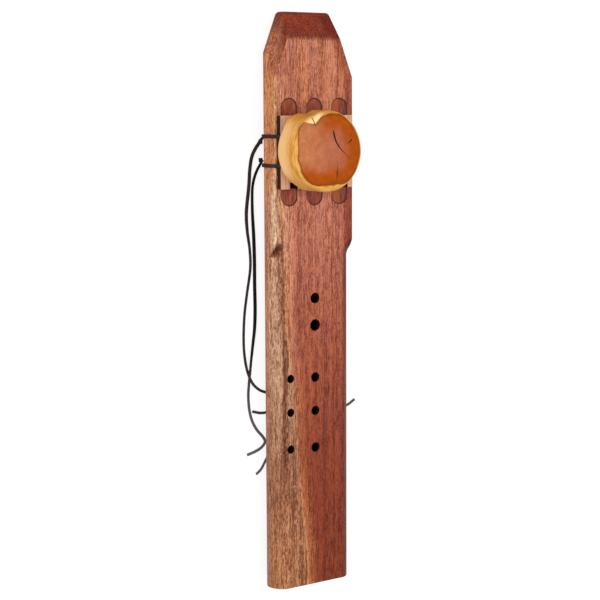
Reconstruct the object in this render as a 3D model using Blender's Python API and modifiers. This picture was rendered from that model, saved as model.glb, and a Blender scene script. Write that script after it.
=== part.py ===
"""Triple drone flute: one flat body of two glued boards with three bores side by side.

The foot is at -Y and the mouth end at +Y. The front face, with the finger holes and the tied
block, looks up. The flute lies on its back on its own laces, so the floor is z = 0.
Inside the flute's own frame x runs from the centre line, y from the foot and z from the floor.
Places round the block are measured back from the tip of the mouth end, and a lace's route is
measured along the flute from its own wrap. All lengths are metres.
"""
import math

import bmesh
import bpy
from mathutils import Vector

# Clearance between pieces that touch or are glued
FIT_GAP = 0.0003

# Body
BODY_LENGTH = 0.6100
BODY_WIDTH = 0.0977
BODY_THICKNESS = 0.0291
BACK_ROUND_RADIUS = 0.0104
FRONT_ROUND_RADIUS = 0.0169
FRONT_ROUND_STOP_Y = 0.3540
ROUTER_BEARING_RADIUS = 0.0080

# Mouth end: two leaning side facets and a long bevel down to a thin lip
FACET_LENGTH = 0.0680
FACET_TAPER = 0.39
FACET_LEAN = 0.41
LIP_BEVEL_LENGTH = 0.0270
LIP_HEIGHT = 0.0125
LIP_ROUND_RADIUS = 0.0030

# Bores, the slow air chambers behind the block and the blow holes
BORE_RADIUS = 0.0110
BORE_PITCH = 0.0316
CHAMBER_FROM_TIP = 0.0650
BLOW_HOLE_RADIUS = 0.0025
BLOW_HOLE_PITCH = 0.0100
BLOW_HOLE_HEIGHT = 0.0065
PLUG_FROM_TIP = 0.1700
PLUG_LENGTH = 0.0440

# Finger holes: distance from the foot and diameter, for each bore
FINGER_HOLES = {
    "left": ((0.1519, 0.0080), (0.1916, 0.0080), (0.2278, 0.0080)),
    "middle": ((0.1505, 0.0094), (0.1905, 0.0091), (0.2267, 0.0093), (0.2827, 0.0114), (0.3115, 0.0103)),
    "right": (),
}

# Inlays let into the front face over each bore
INLAY_FROM_TIP = 0.2001
INLAY_LENGTH = 0.1114
INLAY_WIDTH = 0.0195
INLAY_THICKNESS = 0.0032
WINDOW_WIDTH = 0.0098
WINDOW_LENGTH = 0.0066
FLUE_DEPTH = 0.0010
AIR_HOLE_FROM_TIP = 0.1240
AIR_HOLE_LENGTH = 0.0090

# Block: a dark base and a pale top plate, pegged to a round knob
BLOCK_FROM_TIP = 0.1820
BLOCK_LEFT_STEP = 0.00205
BLOCK_RIGHT_STEP = 0.00605
BLOCK_LENGTH = 0.0755
BASE_THICKNESS = 0.0062
PLATE_THICKNESS = 0.0017
NOTCH_DEPTH = 0.0070
PEG_RADIUS = 0.00635
PEG_DEPTH = 0.0130

# Knob: a slice of a branch with its edges rounded and its face gently domed
KNOB_X = -0.0150
KNOB_FROM_TIP = 0.1425
KNOB_RADIUS = 0.0415
KNOB_HEIGHT = 0.0400
KNOB_DOME = 0.0030
KNOB_EDGE_RADIUS = 0.0080

# Laces
LACE_WIDTH = 0.0040
LACE_THICKNESS = 0.0020
UPPER_WRAP_FROM_TIP = 0.1280
LOWER_WRAP_FROM_TIP = 0.1580
KNOT_RADIUS = 0.0026
KNOT_STRETCH = 1.2
LACE_POINT_SPACING = 0.0100
LINK_X = -0.0220

# Routes of the loose lace ends, point by point from the wrap to the cut end, with y counted from the wrap
LACE_ON_FLOOR = LACE_THICKNESS / 2
LACE_OVER_LACE = LACE_ON_FLOOR + LACE_THICKNESS + 2 * FIT_GAP
KNOT_HEIGHT = KNOT_RADIUS + FIT_GAP
UPPER_LONG_ROUTE = (
    (-0.0520, -0.0072, 0.0024), (-0.0543, -0.0098, 0.0018), (-0.0564, -0.0140, 0.0012),
    (-0.0590, -0.0250, LACE_ON_FLOOR),
    (-0.0606, -0.0400, LACE_ON_FLOOR), (-0.0632, -0.0560, LACE_ON_FLOOR), (-0.0655, -0.0790, LACE_ON_FLOOR),
    (-0.0646, -0.0980, LACE_ON_FLOOR), (-0.0617, -0.1180, LACE_ON_FLOOR), (-0.0612, -0.1380, LACE_ON_FLOOR),
    (-0.0655, -0.1640, LACE_ON_FLOOR), (-0.0688, -0.1860, LACE_ON_FLOOR), (-0.0702, -0.2100, LACE_ON_FLOOR),
    (-0.0694, -0.2290, LACE_ON_FLOOR), (-0.0662, -0.2460, LACE_ON_FLOOR), (-0.0600, -0.2600, LACE_ON_FLOOR),
    (-0.0510, -0.2685, LACE_ON_FLOOR), (-0.0420, -0.2725, LACE_ON_FLOOR), (-0.0345, -0.2785, LACE_ON_FLOOR),
    (-0.0335, -0.2870, LACE_ON_FLOOR), (-0.0400, -0.2930, LACE_ON_FLOOR), (-0.0500, -0.2935, LACE_ON_FLOOR),
    (-0.0600, -0.2908, LACE_ON_FLOOR),
)
LOWER_LONG_ROUTE = (
    (-0.0520, 0.0036, 0.0024), (-0.0540, 0.0012, 0.0018), (-0.0554, -0.0025, 0.0012),
    (-0.0564, -0.0120, LACE_ON_FLOOR),
    (-0.0580, -0.0290, LACE_ON_FLOOR), (-0.0580, -0.0500, LACE_ON_FLOOR), (-0.0568, -0.0740, LACE_ON_FLOOR),
    (-0.0561, -0.1000, LACE_ON_FLOOR), (-0.0561, -0.1260, LACE_ON_FLOOR), (-0.0558, -0.1520, LACE_ON_FLOOR),
    (-0.0568, -0.1720, 0.0012), (-0.0592, -0.1860, 0.0021), (-0.0614, -0.1980, 0.0030),
    (-0.0632, -0.2090, LACE_OVER_LACE), (-0.0645, -0.2200, LACE_OVER_LACE), (-0.0652, -0.2310, 0.0026),
    (-0.0653, -0.2430, 0.0014), (-0.0642, -0.2570, LACE_ON_FLOOR), (-0.0610, -0.2700, LACE_ON_FLOOR),
    (-0.0550, -0.2810, LACE_ON_FLOOR), (-0.0475, -0.2895, LACE_ON_FLOOR), (-0.0446, -0.2955, LACE_ON_FLOOR),
    (-0.0490, -0.3010, LACE_ON_FLOOR), (-0.0570, -0.3045, LACE_ON_FLOOR), (-0.0670, -0.3070, LACE_ON_FLOOR),
)
UPPER_INNER_ROUTE = (
    (-0.0220, -0.0323, LACE_ON_FLOOR), (-0.0200, -0.0520, LACE_ON_FLOOR), (-0.0120, -0.0920, LACE_ON_FLOOR),
    (-0.0010, -0.1420, LACE_ON_FLOOR), (0.0080, -0.1920, LACE_ON_FLOOR), (0.0180, -0.2400, LACE_ON_FLOOR),
    (0.0290, -0.2760, LACE_ON_FLOOR), (0.0410, -0.2940, LACE_ON_FLOOR), (0.0530, -0.2995, LACE_ON_FLOOR),
    (0.0640, -0.2975, LACE_ON_FLOOR), (0.0735, -0.2925, LACE_ON_FLOOR),
)
LOWER_INNER_ROUTE = (
    (-0.0310, -0.0023, LACE_ON_FLOOR), (-0.0320, -0.0220, LACE_ON_FLOOR), (-0.0290, -0.0620, LACE_ON_FLOOR),
    (-0.0230, -0.1120, LACE_ON_FLOOR), (-0.0170, -0.1620, LACE_ON_FLOOR), (-0.0150, -0.2120, LACE_ON_FLOOR),
    (-0.0190, -0.2520, LACE_ON_FLOOR), (-0.0270, -0.2820, LACE_ON_FLOOR), (-0.0370, -0.3040, LACE_ON_FLOOR),
    (-0.0450, -0.3175, LACE_ON_FLOOR), (-0.0500, -0.3250, LACE_ON_FLOOR), (-0.0560, -0.3295, LACE_ON_FLOOR),
)

# How finely round shapes are divided
ROD_SIDES = 24
BORE_SIDES = 28
HOLE_SIDES = 20
BLOW_HOLE_SIDES = 12
KNOB_SIDES = 40
KNOT_SIDES = 12
ROUND_STEPS = 8
EDGE_STEPS = 6
LIP_STEPS = 3
SLOT_END_STEPS = 12
BAND_STEP = math.radians(15)
ROUTE_STEPS = 12
WELD_DISTANCE = 0.000001

# Levels and places worked out from the sizes above
BACK_Z = LACE_THICKNESS + FIT_GAP
FACE_Z = BACK_Z + BODY_THICKNESS
BORE_Z = BACK_Z + BODY_THICKNESS / 2
BASE_Z = FACE_Z + FIT_GAP
PLATE_Z = BASE_Z + BASE_THICKNESS + FIT_GAP
BLOCK_TOP_Z = PLATE_Z + PLATE_THICKNESS
KNOB_Z = BLOCK_TOP_Z + LACE_THICKNESS + 3 * FIT_GAP
BORE_X = {"left": -BORE_PITCH, "middle": 0.0, "right": BORE_PITCH}
CHAMBER_END_Y = BODY_LENGTH - CHAMBER_FROM_TIP
PLUG_Y = BODY_LENGTH - PLUG_FROM_TIP
INLAY_Y = BODY_LENGTH - INLAY_FROM_TIP
AIR_HOLE_Y = BODY_LENGTH - AIR_HOLE_FROM_TIP
BLOCK_Y = BODY_LENGTH - BLOCK_FROM_TIP
BLOCK_X = (BLOCK_LEFT_STEP - BLOCK_RIGHT_STEP) / 2
BLOCK_WIDTH = BODY_WIDTH - BLOCK_LEFT_STEP - BLOCK_RIGHT_STEP
KNOB_Y = BODY_LENGTH - KNOB_FROM_TIP
UPPER_WRAP_Y = BODY_LENGTH - UPPER_WRAP_FROM_TIP
LOWER_WRAP_Y = BODY_LENGTH - LOWER_WRAP_FROM_TIP
SIDE_REACH = BODY_WIDTH / 2 + FIT_GAP + LACE_THICKNESS
KNOB_REACH = KNOB_RADIUS - KNOB_X
CENTRE_X = (KNOB_REACH - SIDE_REACH) / 2
CUT_MARGIN = 0.0100


def clear_scene():
    for item in list(bpy.data.objects):
        bpy.data.objects.remove(item)


def new_collection(name):
    collection = bpy.data.collections.new(name)
    bpy.context.scene.collection.children.link(collection)
    return collection


def finish_material(name, colour, roughness):
    material = bpy.data.materials.new(name)
    material.use_nodes = True
    shader = material.node_tree.nodes["Principled BSDF"]
    shader.inputs["Base Color"].default_value = (*colour, 1.0)
    shader.inputs["Roughness"].default_value = roughness
    shader.inputs["Metallic"].default_value = 0.0
    return material


def new_empty(name, location, parent=None):
    empty = bpy.data.objects.new(name, None)
    empty.location = location
    empty.parent = parent
    parts.objects.link(empty)
    return empty


def new_part(name, mesh, material, parent, location=(0, 0, 0)):
    part = bpy.data.objects.new(name, mesh)
    mesh.materials.clear()
    mesh.materials.append(material)
    part.parent = parent
    part.location = location
    parts.objects.link(part)
    return part


def new_cutter(name, mesh, parent, location=(0, 0, 0)):
    cutter = bpy.data.objects.new(name, mesh)
    cutter.parent = parent
    cutter.location = location
    cutter.hide_render = True
    cutter.display_type = "WIRE"
    cutters.objects.link(cutter)
    return cutter


def mesh_of(name, shape):
    mesh = bpy.data.meshes.new(name)
    shape.to_mesh(mesh)
    shape.free()
    return mesh


def box_mesh(name, low, high):
    low, high = Vector(low), Vector(high)
    shape = bmesh.new()
    bmesh.ops.create_cube(shape, size=1.0)
    bmesh.ops.scale(shape, vec=high - low, verts=shape.verts)
    bmesh.ops.translate(shape, vec=(low + high) / 2, verts=shape.verts)
    return mesh_of(name, shape)


def rod_mesh(name, start, end, radius, sides=ROD_SIDES):
    """A cylinder from one point to another."""
    start, end = Vector(start), Vector(end)
    along = end - start
    shape = bmesh.new()
    bmesh.ops.create_cone(shape, cap_ends=True, segments=sides, radius1=radius, radius2=radius,
                          depth=along.length)
    turn = along.to_track_quat("Z", "Y").to_matrix()
    bmesh.ops.rotate(shape, cent=(0, 0, 0), matrix=turn, verts=shape.verts)
    bmesh.ops.translate(shape, vec=(start + end) / 2, verts=shape.verts)
    return mesh_of(name, shape)


def mesh_from_curve(name, curve):
    """The curve's closed mesh, with its loose caps welded on."""
    holder = bpy.data.objects.new(name, curve)
    parts.objects.link(holder)
    evaluated = holder.evaluated_get(bpy.context.evaluated_depsgraph_get())
    mesh = bpy.data.meshes.new_from_object(evaluated)
    bpy.data.objects.remove(holder)
    shape = bmesh.new()
    shape.from_mesh(mesh)
    bmesh.ops.remove_doubles(shape, verts=shape.verts, dist=WELD_DISTANCE)
    shape.to_mesh(mesh)
    shape.free()
    return mesh


def flat_outline_mesh(name, outlines, thickness):
    """A plate of the given closed outlines, centred on its own XY plane; a second outline is a hole."""
    curve = bpy.data.curves.new(name, "CURVE")
    curve.dimensions = "2D"
    curve.fill_mode = "BOTH"
    curve.extrude = thickness / 2
    for outline in outlines:
        spline = curve.splines.new("POLY")
        spline.points.add(len(outline) - 1)
        for point, place in zip(spline.points, outline):
            point.co = (place[0], place[1], 0, 1)
        spline.use_cyclic_u = True
    return mesh_from_curve(name, curve)


def cut(part, *tools, operation="DIFFERENCE"):
    for tool in tools:
        modifier = part.modifiers.new(tool.name, "BOOLEAN")
        modifier.operation = operation
        modifier.object = tool
        modifier.solver = "EXACT"


def shade_round(part, angle=40):
    part.data.shade_smooth()
    part.data.set_sharp_from_angle(angle=math.radians(angle))


def arc(centre, radius, start, end, steps):
    angles = [start + (end - start) * step / steps for step in range(steps + 1)]
    return [(centre[0] + radius * math.cos(angle), centre[1] + radius * math.sin(angle)) for angle in angles]


# Body boards

def plank_mesh(name):
    """The whole plank before it is bored: mouth end shaped, back edges and back of the foot rounded."""
    shape = bmesh.new()
    bmesh.ops.create_cube(shape, size=1.0)
    bmesh.ops.scale(shape, vec=(BODY_WIDTH, BODY_LENGTH, BODY_THICKNESS), verts=shape.verts)
    bmesh.ops.translate(shape, vec=(0, BODY_LENGTH / 2, BORE_Z), verts=shape.verts)
    lip_drop = BODY_THICKNESS - LIP_HEIGHT
    cuts = [((0, BODY_LENGTH - LIP_BEVEL_LENGTH, FACE_Z), (0, lip_drop, LIP_BEVEL_LENGTH))]
    for side in (-1, 1):
        facet_start = (side * BODY_WIDTH / 2, BODY_LENGTH - FACET_LENGTH, FACE_Z)
        cuts.append((facet_start, (side, FACET_TAPER, FACET_LEAN)))
    for point, normal in cuts:
        everything = shape.verts[:] + shape.edges[:] + shape.faces[:]
        bmesh.ops.bisect_plane(shape, geom=everything, plane_co=point, plane_no=normal, clear_outer=True)
        rim = [edge for edge in shape.edges if edge.is_boundary]
        bmesh.ops.contextual_create(shape, geom=rim)
    shape.normal_update()

    def on_back(edge):
        return all(abs(vert.co.z - BACK_Z) < FIT_GAP for vert in edge.verts)

    def at_end(edge, end_y):
        return all(abs(vert.co.y - end_y) < FIT_GAP for vert in edge.verts)

    sides = [edge for edge in shape.edges if on_back(edge) and not at_end(edge, BODY_LENGTH)]
    bmesh.ops.bevel(shape, geom=sides, offset=BACK_ROUND_RADIUS, segments=EDGE_STEPS, profile=0.5,
                    affect="EDGES")
    front = BACK_Z + LIP_HEIGHT - FIT_GAP
    lip = [edge for edge in shape.edges if at_end(edge, BODY_LENGTH)
           and min(vert.co.z for vert in edge.verts) < front]
    bmesh.ops.bevel(shape, geom=lip, offset=LIP_ROUND_RADIUS, segments=LIP_STEPS, profile=0.5,
                    affect="EDGES")
    return mesh_of(name, shape)


def round_over_mesh(name, side):
    """What a rounding bit takes off one front edge: a straight run and the bit's own curved stop."""
    axis_x = BODY_WIDTH / 2 + ROUTER_BEARING_RADIUS
    reach = ROUTER_BEARING_RADIUS + FRONT_ROUND_RADIUS
    top = FACE_Z + CUT_MARGIN
    curve = arc((reach, FACE_Z - FRONT_ROUND_RADIUS), FRONT_ROUND_RADIUS, math.pi, math.pi / 2, ROUND_STEPS)
    profile = [(0, FACE_Z - FRONT_ROUND_RADIUS)] + curve + [(reach, top), (0, top)]
    shape = bmesh.new()
    verts = [shape.verts.new((side * (axis_x - distance), -CUT_MARGIN, height))
             for distance, height in profile]
    start = shape.faces.new(verts)
    run = bmesh.ops.extrude_face_region(shape, geom=[start])["geom"]
    moved = [item for item in run if isinstance(item, bmesh.types.BMVert)]
    bmesh.ops.translate(shape, vec=(0, FRONT_ROUND_STOP_Y + CUT_MARGIN, 0), verts=moved)
    end = [item for item in run if isinstance(item, bmesh.types.BMFace)]
    turn = bmesh.ops.spin(shape, geom=end, cent=(side * axis_x, FRONT_ROUND_STOP_Y, 0), axis=(0, 0, 1),
                          angle=-side * math.pi / 2, steps=ROUND_STEPS)["geom_last"]
    bmesh.ops.remove_doubles(shape, verts=shape.verts, dist=WELD_DISTANCE)
    inner = [face for face in shape.faces if face in end and face not in turn]
    bmesh.ops.delete(shape, geom=inner, context="FACES")
    bmesh.ops.dissolve_degenerate(shape, dist=WELD_DISTANCE, edges=shape.edges)
    bmesh.ops.recalc_face_normals(shape, faces=shape.faces)
    return mesh_of(name, shape)


def stadium(width, length):
    """A slot outline with round ends, running along Y from its low end at y = 0."""
    radius = width / 2
    far_end = arc((0, length - radius), radius, 0, math.pi, SLOT_END_STEPS)
    near_end = arc((0, radius), radius, math.pi, 2 * math.pi, SLOT_END_STEPS)
    return far_end + near_end


def make_boards(parent, wood):
    low_z, high_z = BACK_Z - CUT_MARGIN, FACE_Z + CUT_MARGIN
    low_x, low_y = -BODY_WIDTH, -CUT_MARGIN
    high_x, high_y = BODY_WIDTH, BODY_LENGTH + CUT_MARGIN
    lower_box = box_mesh("lower_half", (low_x, low_y, low_z), (high_x, high_y, BORE_Z + FIT_GAP / 2))
    upper_box = box_mesh("upper_half", (low_x, low_y, BORE_Z - FIT_GAP / 2), (high_x, high_y, high_z))
    lower_half = new_cutter("lower_half", lower_box, parent)
    upper_half = new_cutter("upper_half", upper_box, parent)
    shared = [new_cutter(f"{side}_round_over", round_over_mesh(f"{side}_round_over", sign), parent)
              for side, sign in (("left", -1), ("right", 1))]
    front_only = []
    for column, (bore, x) in enumerate(BORE_X.items()):
        start, end = Vector((x, -CUT_MARGIN, BORE_Z)), Vector((x, CHAMBER_END_Y, BORE_Z))
        bore_rod = rod_mesh(f"{bore}_bore", start, end, BORE_RADIUS, BORE_SIDES)
        shared.append(new_cutter(f"{bore}_bore", bore_rod, parent))
        inside = end - Vector((0, BORE_RADIUS / 2, 0))
        mouth = Vector(((column - 1) * BLOW_HOLE_PITCH, BODY_LENGTH, BACK_Z + BLOW_HOLE_HEIGHT))
        outside = mouth + (mouth - inside).normalized() * CUT_MARGIN
        blow_rod = rod_mesh(f"{bore}_blow_hole", inside, outside, BLOW_HOLE_RADIUS, BLOW_HOLE_SIDES)
        shared.append(new_cutter(f"{bore}_blow_hole", blow_rod, parent))
        slot = stadium(INLAY_WIDTH + 2 * FIT_GAP, INLAY_LENGTH + 2 * FIT_GAP)
        pocket = flat_outline_mesh(f"{bore}_pocket", [slot], BODY_THICKNESS)
        pocket_place = (x, INLAY_Y - FIT_GAP, BORE_Z + BODY_THICKNESS / 2)
        front_only.append(new_cutter(f"{bore}_pocket", pocket, parent, pocket_place))
        for count, (y, diameter) in enumerate(FINGER_HOLES[bore], 1):
            name = f"{bore}_finger_hole_{count}"
            hole = rod_mesh(name, (x, y, BORE_Z), (x, y, FACE_Z + CUT_MARGIN), diameter / 2, HOLE_SIDES)
            front_only.append(new_cutter(name, hole, parent))
    front = new_part("front_board", plank_mesh("front_board"), wood, parent)
    cut(front, lower_half, *shared, *front_only)
    back = new_part("back_board", plank_mesh("back_board"), wood, parent)
    cut(back, upper_half, *shared)


# Inlays and the plugs between the slow air chambers and the sounding bores

def make_inlay(bore, parent, wood):
    x = BORE_X[bore]
    name = f"{bore}_inlay"
    low_z = FACE_Z - INLAY_THICKNESS
    strip = flat_outline_mesh(name, [stadium(INLAY_WIDTH, INLAY_LENGTH)], INLAY_THICKNESS)
    inlay = new_part(name, strip, wood, parent, (x, INLAY_Y, FACE_Z - INLAY_THICKNESS / 2))
    half = WINDOW_WIDTH / 2
    top = FACE_Z + CUT_MARGIN
    window_end = BLOCK_Y + FIT_GAP + WINDOW_LENGTH
    openings = {
        "window": ((-half, BLOCK_Y + FIT_GAP, low_z - CUT_MARGIN), (half, window_end, top)),
        "flue": ((-half, window_end - FIT_GAP, FACE_Z - FLUE_DEPTH), (half, AIR_HOLE_Y + FIT_GAP, top)),
        "air_hole": ((-half, AIR_HOLE_Y, low_z - CUT_MARGIN), (half, AIR_HOLE_Y + AIR_HOLE_LENGTH, top)),
    }
    for opening, (low, high) in openings.items():
        opening_box = box_mesh(f"{bore}_{opening}", low, high)
        cut(inlay, new_cutter(f"{bore}_{opening}", opening_box, parent, (x, 0, 0)))


def make_plug(bore, parent, wood):
    x = BORE_X[bore]
    name = f"{bore}_plug"
    plug = new_part(name, rod_mesh(name, (x, PLUG_Y, BORE_Z), (x, PLUG_Y + PLUG_LENGTH, BORE_Z),
                                   BORE_RADIUS - FIT_GAP), wood, parent)
    flat_top = FACE_Z - INLAY_THICKNESS - FIT_GAP
    crown_high = (INLAY_WIDTH / 2, PLUG_Y + PLUG_LENGTH, flat_top)
    crown = box_mesh(f"{name}_crown", (-INLAY_WIDTH / 2, PLUG_Y, BORE_Z), crown_high)
    cut(plug, new_cutter(f"{name}_crown", crown, parent, (x, 0, 0)), operation="UNION")


# Block, peg and knob: everything that slides together, placed from the block's own origin

def make_layer(name, low_z, thickness, parent, wood):
    origin = parent.location
    low_y = BLOCK_Y - origin.y
    size = (BLOCK_WIDTH / 2, low_y + BLOCK_LENGTH, low_z + thickness - origin.z)
    layer = new_part(name, box_mesh(name, (-size[0], low_y, low_z - origin.z), size), wood, parent)
    for bore, x in BORE_X.items():
        notch = box_mesh(f"{name}_{bore}_notch", (-WINDOW_WIDTH / 2, low_y - CUT_MARGIN, -CUT_MARGIN),
                         (WINDOW_WIDTH / 2, low_y + NOTCH_DEPTH, CUT_MARGIN + BLOCK_TOP_Z - FACE_Z))
        cut(layer, new_cutter(f"{name}_{bore}_notch", notch, parent, (x - origin.x, 0, 0)))
    return layer


def knob_profile():
    """Half section of the knob from the middle of its dome down its outside to its underside."""
    rim = KNOB_RADIUS - KNOB_EDGE_RADIUS
    dome_radius = (rim ** 2 + KNOB_DOME ** 2) / (2 * KNOB_DOME)
    dome_centre = KNOB_HEIGHT + KNOB_DOME - dome_radius
    dome_angle = math.asin(rim / dome_radius)
    dome = arc((0, dome_centre), dome_radius, math.pi / 2, math.pi / 2 - dome_angle, EDGE_STEPS)
    shoulder = KNOB_HEIGHT - KNOB_EDGE_RADIUS
    upper = arc((rim, shoulder), KNOB_EDGE_RADIUS, math.pi / 2 - dome_angle, 0, EDGE_STEPS)
    lower = arc((rim, KNOB_EDGE_RADIUS), KNOB_EDGE_RADIUS, 0, -math.pi / 2, EDGE_STEPS)
    return dome + upper[1:] + lower + [(0, 0)]


def make_knob(parent, wood):
    origin = parent.location
    curve = bpy.data.meshes.new("knob")
    points = knob_profile()
    curve.from_pydata([(radius, 0, height) for radius, height in points],
                      [(i, i + 1) for i in range(len(points) - 1)], [])
    knob = new_part("knob", curve, wood, parent, (KNOB_X - origin.x, KNOB_Y - origin.y, KNOB_Z - origin.z))
    screw = knob.modifiers.new("turned", "SCREW")
    screw.axis = "Z"
    screw.steps = KNOB_SIDES
    screw.render_steps = KNOB_SIDES
    screw.use_merge_vertices = True
    screw.merge_threshold = WELD_DISTANCE
    screw.use_smooth_shade = True
    socket = rod_mesh("peg_socket", (0, 0, -CUT_MARGIN), (0, 0, PEG_DEPTH + FIT_GAP), PEG_RADIUS + FIT_GAP)
    cut(knob, new_cutter("peg_socket", socket, parent, knob.location))


def make_block(parent, base_wood, plate_wood, knob_wood, peg_wood):
    make_knob(parent, knob_wood)
    origin = parent.location
    peg_place = (KNOB_X - origin.x, KNOB_Y - origin.y, 0)
    peg_low, peg_high = BASE_Z - origin.z, KNOB_Z + PEG_DEPTH - origin.z
    peg_body = rod_mesh("peg", (0, 0, peg_low), (0, 0, peg_high), PEG_RADIUS)
    peg = new_part("peg", peg_body, peg_wood, parent, peg_place)
    shade_round(peg)
    hole_body = rod_mesh("peg_hole", (0, 0, -CUT_MARGIN), (0, 0, peg_high), PEG_RADIUS + FIT_GAP)
    hole = new_cutter("peg_hole", hole_body, parent, peg_place)
    cut(make_layer("block_base", BASE_Z, BASE_THICKNESS, parent, base_wood), hole)
    cut(make_layer("block_plate", PLATE_Z, PLATE_THICKNESS, parent, plate_wood), hole)


# Laces

def band_outline(corners, offset):
    """A taut band around a convex ring of corner circles (x, z, radius), counter-clockwise."""
    normals = []
    for here, after in zip(corners, corners[1:] + corners[:1]):
        along = Vector((after[0] - here[0], after[1] - here[1]))
        lean = math.asin((here[2] - after[2]) / along.length)
        normals.append(math.atan2(along.y, along.x) - math.pi / 2 + lean)
    outline = []
    for corner, start, end in zip(corners, normals[-1:] + normals[:-1], normals):
        swing = (end - start) % (2 * math.pi)
        steps = max(1, round(swing / BAND_STEP))
        outline += arc(corner[:2], corner[2] + offset, start, start + swing, steps)
    return outline


def make_wrap(name, y, parent, leather):
    """One turn of lace around the body and over the block, drawn as a section and laid across the flute."""
    side, sharp = BODY_WIDTH / 2, FIT_GAP
    back_x, back_z = side - BACK_ROUND_RADIUS, BACK_Z + BACK_ROUND_RADIUS
    block_low, block_high = BLOCK_X - BLOCK_WIDTH / 2 + sharp, BLOCK_X + BLOCK_WIDTH / 2 - sharp
    corners = [(-back_x, back_z, BACK_ROUND_RADIUS), (back_x, back_z, BACK_ROUND_RADIUS),
               (side - sharp, FACE_Z - sharp, sharp), (block_high, BLOCK_TOP_Z - sharp, sharp),
               (block_low, BLOCK_TOP_Z - sharp, sharp), (-side + sharp, FACE_Z - sharp, sharp)]
    rings = [band_outline(corners, FIT_GAP + LACE_THICKNESS), band_outline(corners, FIT_GAP)]
    wrap = new_part(name, flat_outline_mesh(name, rings, LACE_WIDTH), leather, parent, (0, y, 0))
    wrap.rotation_euler = (math.pi / 2, 0, 0)


def make_knot(name, y, parent, leather):
    """The lump of a small overhand knot, tucked in at the back left edge."""
    shape = bmesh.new()
    bmesh.ops.create_uvsphere(shape, u_segments=KNOT_SIDES, v_segments=KNOT_SIDES // 2,
                                radius=KNOT_RADIUS)
    bmesh.ops.scale(shape, vec=(1.0, KNOT_STRETCH, 1.0), verts=shape.verts)
    place = (-BODY_WIDTH / 2 + FIT_GAP, y, KNOT_HEIGHT)
    shade_round(new_part(name, mesh_of(name, shape), leather, parent, place))


def smooth_route(route, wrap_y):
    """Evenly spaced points along the smooth curve through the route's own points."""
    knots = [Vector((x, wrap_y + y, z)) for x, y, z in route]
    knots = [2 * knots[0] - knots[1]] + knots + [2 * knots[-1] - knots[-2]]
    fine = []
    for before, start, end, after in zip(knots, knots[1:], knots[2:], knots[3:]):
        for step in range(ROUTE_STEPS):
            t = step / ROUTE_STEPS
            straight = 2 * start + (end - before) * t
            bend = (2 * before - 5 * start + 4 * end - after) * t ** 2
            twist = (3 * start - before - 3 * end + after) * t ** 3
            fine.append((straight + bend + twist) / 2)
    fine.append(knots[-2])
    travelled = [0.0]
    for one, two in zip(fine, fine[1:]):
        travelled.append(travelled[-1] + (two - one).length)
    count = round(travelled[-1] / LACE_POINT_SPACING)
    points = []
    index = 0
    for step in range(count + 1):
        target = travelled[-1] * step / count
        while index < len(fine) - 2 and travelled[index + 1] < target:
            index += 1
        share = (target - travelled[index]) / (travelled[index + 1] - travelled[index])
        points.append(fine[index].lerp(fine[index + 1], share))
    return points


def make_lace(name, points, parent, leather):
    """A flat lace with round edges, lying on its wide side."""
    curve = bpy.data.curves.new(name, "CURVE")
    curve.dimensions = "3D"
    curve.twist_mode = "Z_UP"
    curve.bevel_depth = LACE_THICKNESS / 2
    curve.extrude = (LACE_WIDTH - LACE_THICKNESS) / 2
    curve.bevel_resolution = 1
    curve.use_fill_caps = True
    spline = curve.splines.new("POLY")
    spline.points.add(len(points) - 1)
    for point, place in zip(spline.points, points):
        point.co = (*place, 1)
        point.tilt = math.pi / 2
    curve.materials.append(leather)
    lace = bpy.data.objects.new(name, curve)
    lace.parent = parent
    parts.objects.link(lace)


def make_laces(parent, leather):
    half = LACE_WIDTH / 2 + FIT_GAP
    make_wrap("upper_lace_wrap", UPPER_WRAP_Y, parent, leather)
    make_wrap("lower_lace_wrap", LOWER_WRAP_Y, parent, leather)
    knot_offset = half + KNOT_RADIUS * KNOT_STRETCH
    make_knot("upper_lace_knot", UPPER_WRAP_Y - knot_offset, parent, leather)
    make_knot("lower_lace_knot", LOWER_WRAP_Y + knot_offset, parent, leather)
    link = [(LINK_X, UPPER_WRAP_Y - half, LACE_ON_FLOOR), (LINK_X, LOWER_WRAP_Y + half, LACE_ON_FLOOR)]
    make_lace("upper_lace_link", link, parent, leather)
    make_lace("upper_lace_long_tail", smooth_route(UPPER_LONG_ROUTE, UPPER_WRAP_Y), parent, leather)
    make_lace("lower_lace_long_tail", smooth_route(LOWER_LONG_ROUTE, LOWER_WRAP_Y), parent, leather)
    make_lace("upper_lace_inner_tail", smooth_route(UPPER_INNER_ROUTE, UPPER_WRAP_Y), parent, leather)
    make_lace("lower_lace_inner_tail", smooth_route(LOWER_INNER_ROUTE, LOWER_WRAP_Y), parent, leather)


clear_scene()
parts = new_collection("triple_flute")
cutters = new_collection("cutters")

body_wood = finish_material("oiled redwood", (0.45, 0.17, 0.09), 0.45)
inlay_wood = finish_material("inlay wood", (0.26, 0.07, 0.04), 0.45)
plug_wood = finish_material("plug wood", (0.52, 0.34, 0.20), 0.6)
base_wood = finish_material("dark block wood", (0.12, 0.03, 0.015), 0.5)
plate_wood = finish_material("pale maple", (0.72, 0.47, 0.32), 0.5)
knob_wood = finish_material("polished branch wood", (0.75, 0.32, 0.07), 0.3)
peg_wood = finish_material("peg wood", (0.70, 0.52, 0.33), 0.6)
lace_leather = finish_material("dark leather lace", (0.03, 0.015, 0.012), 0.7)

flute = new_empty("flute_origin", (CENTRE_X, -BODY_LENGTH / 2, 0))
block = new_empty("block_origin", (BLOCK_X, BLOCK_Y + BLOCK_LENGTH / 2, FACE_Z), flute)

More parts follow.
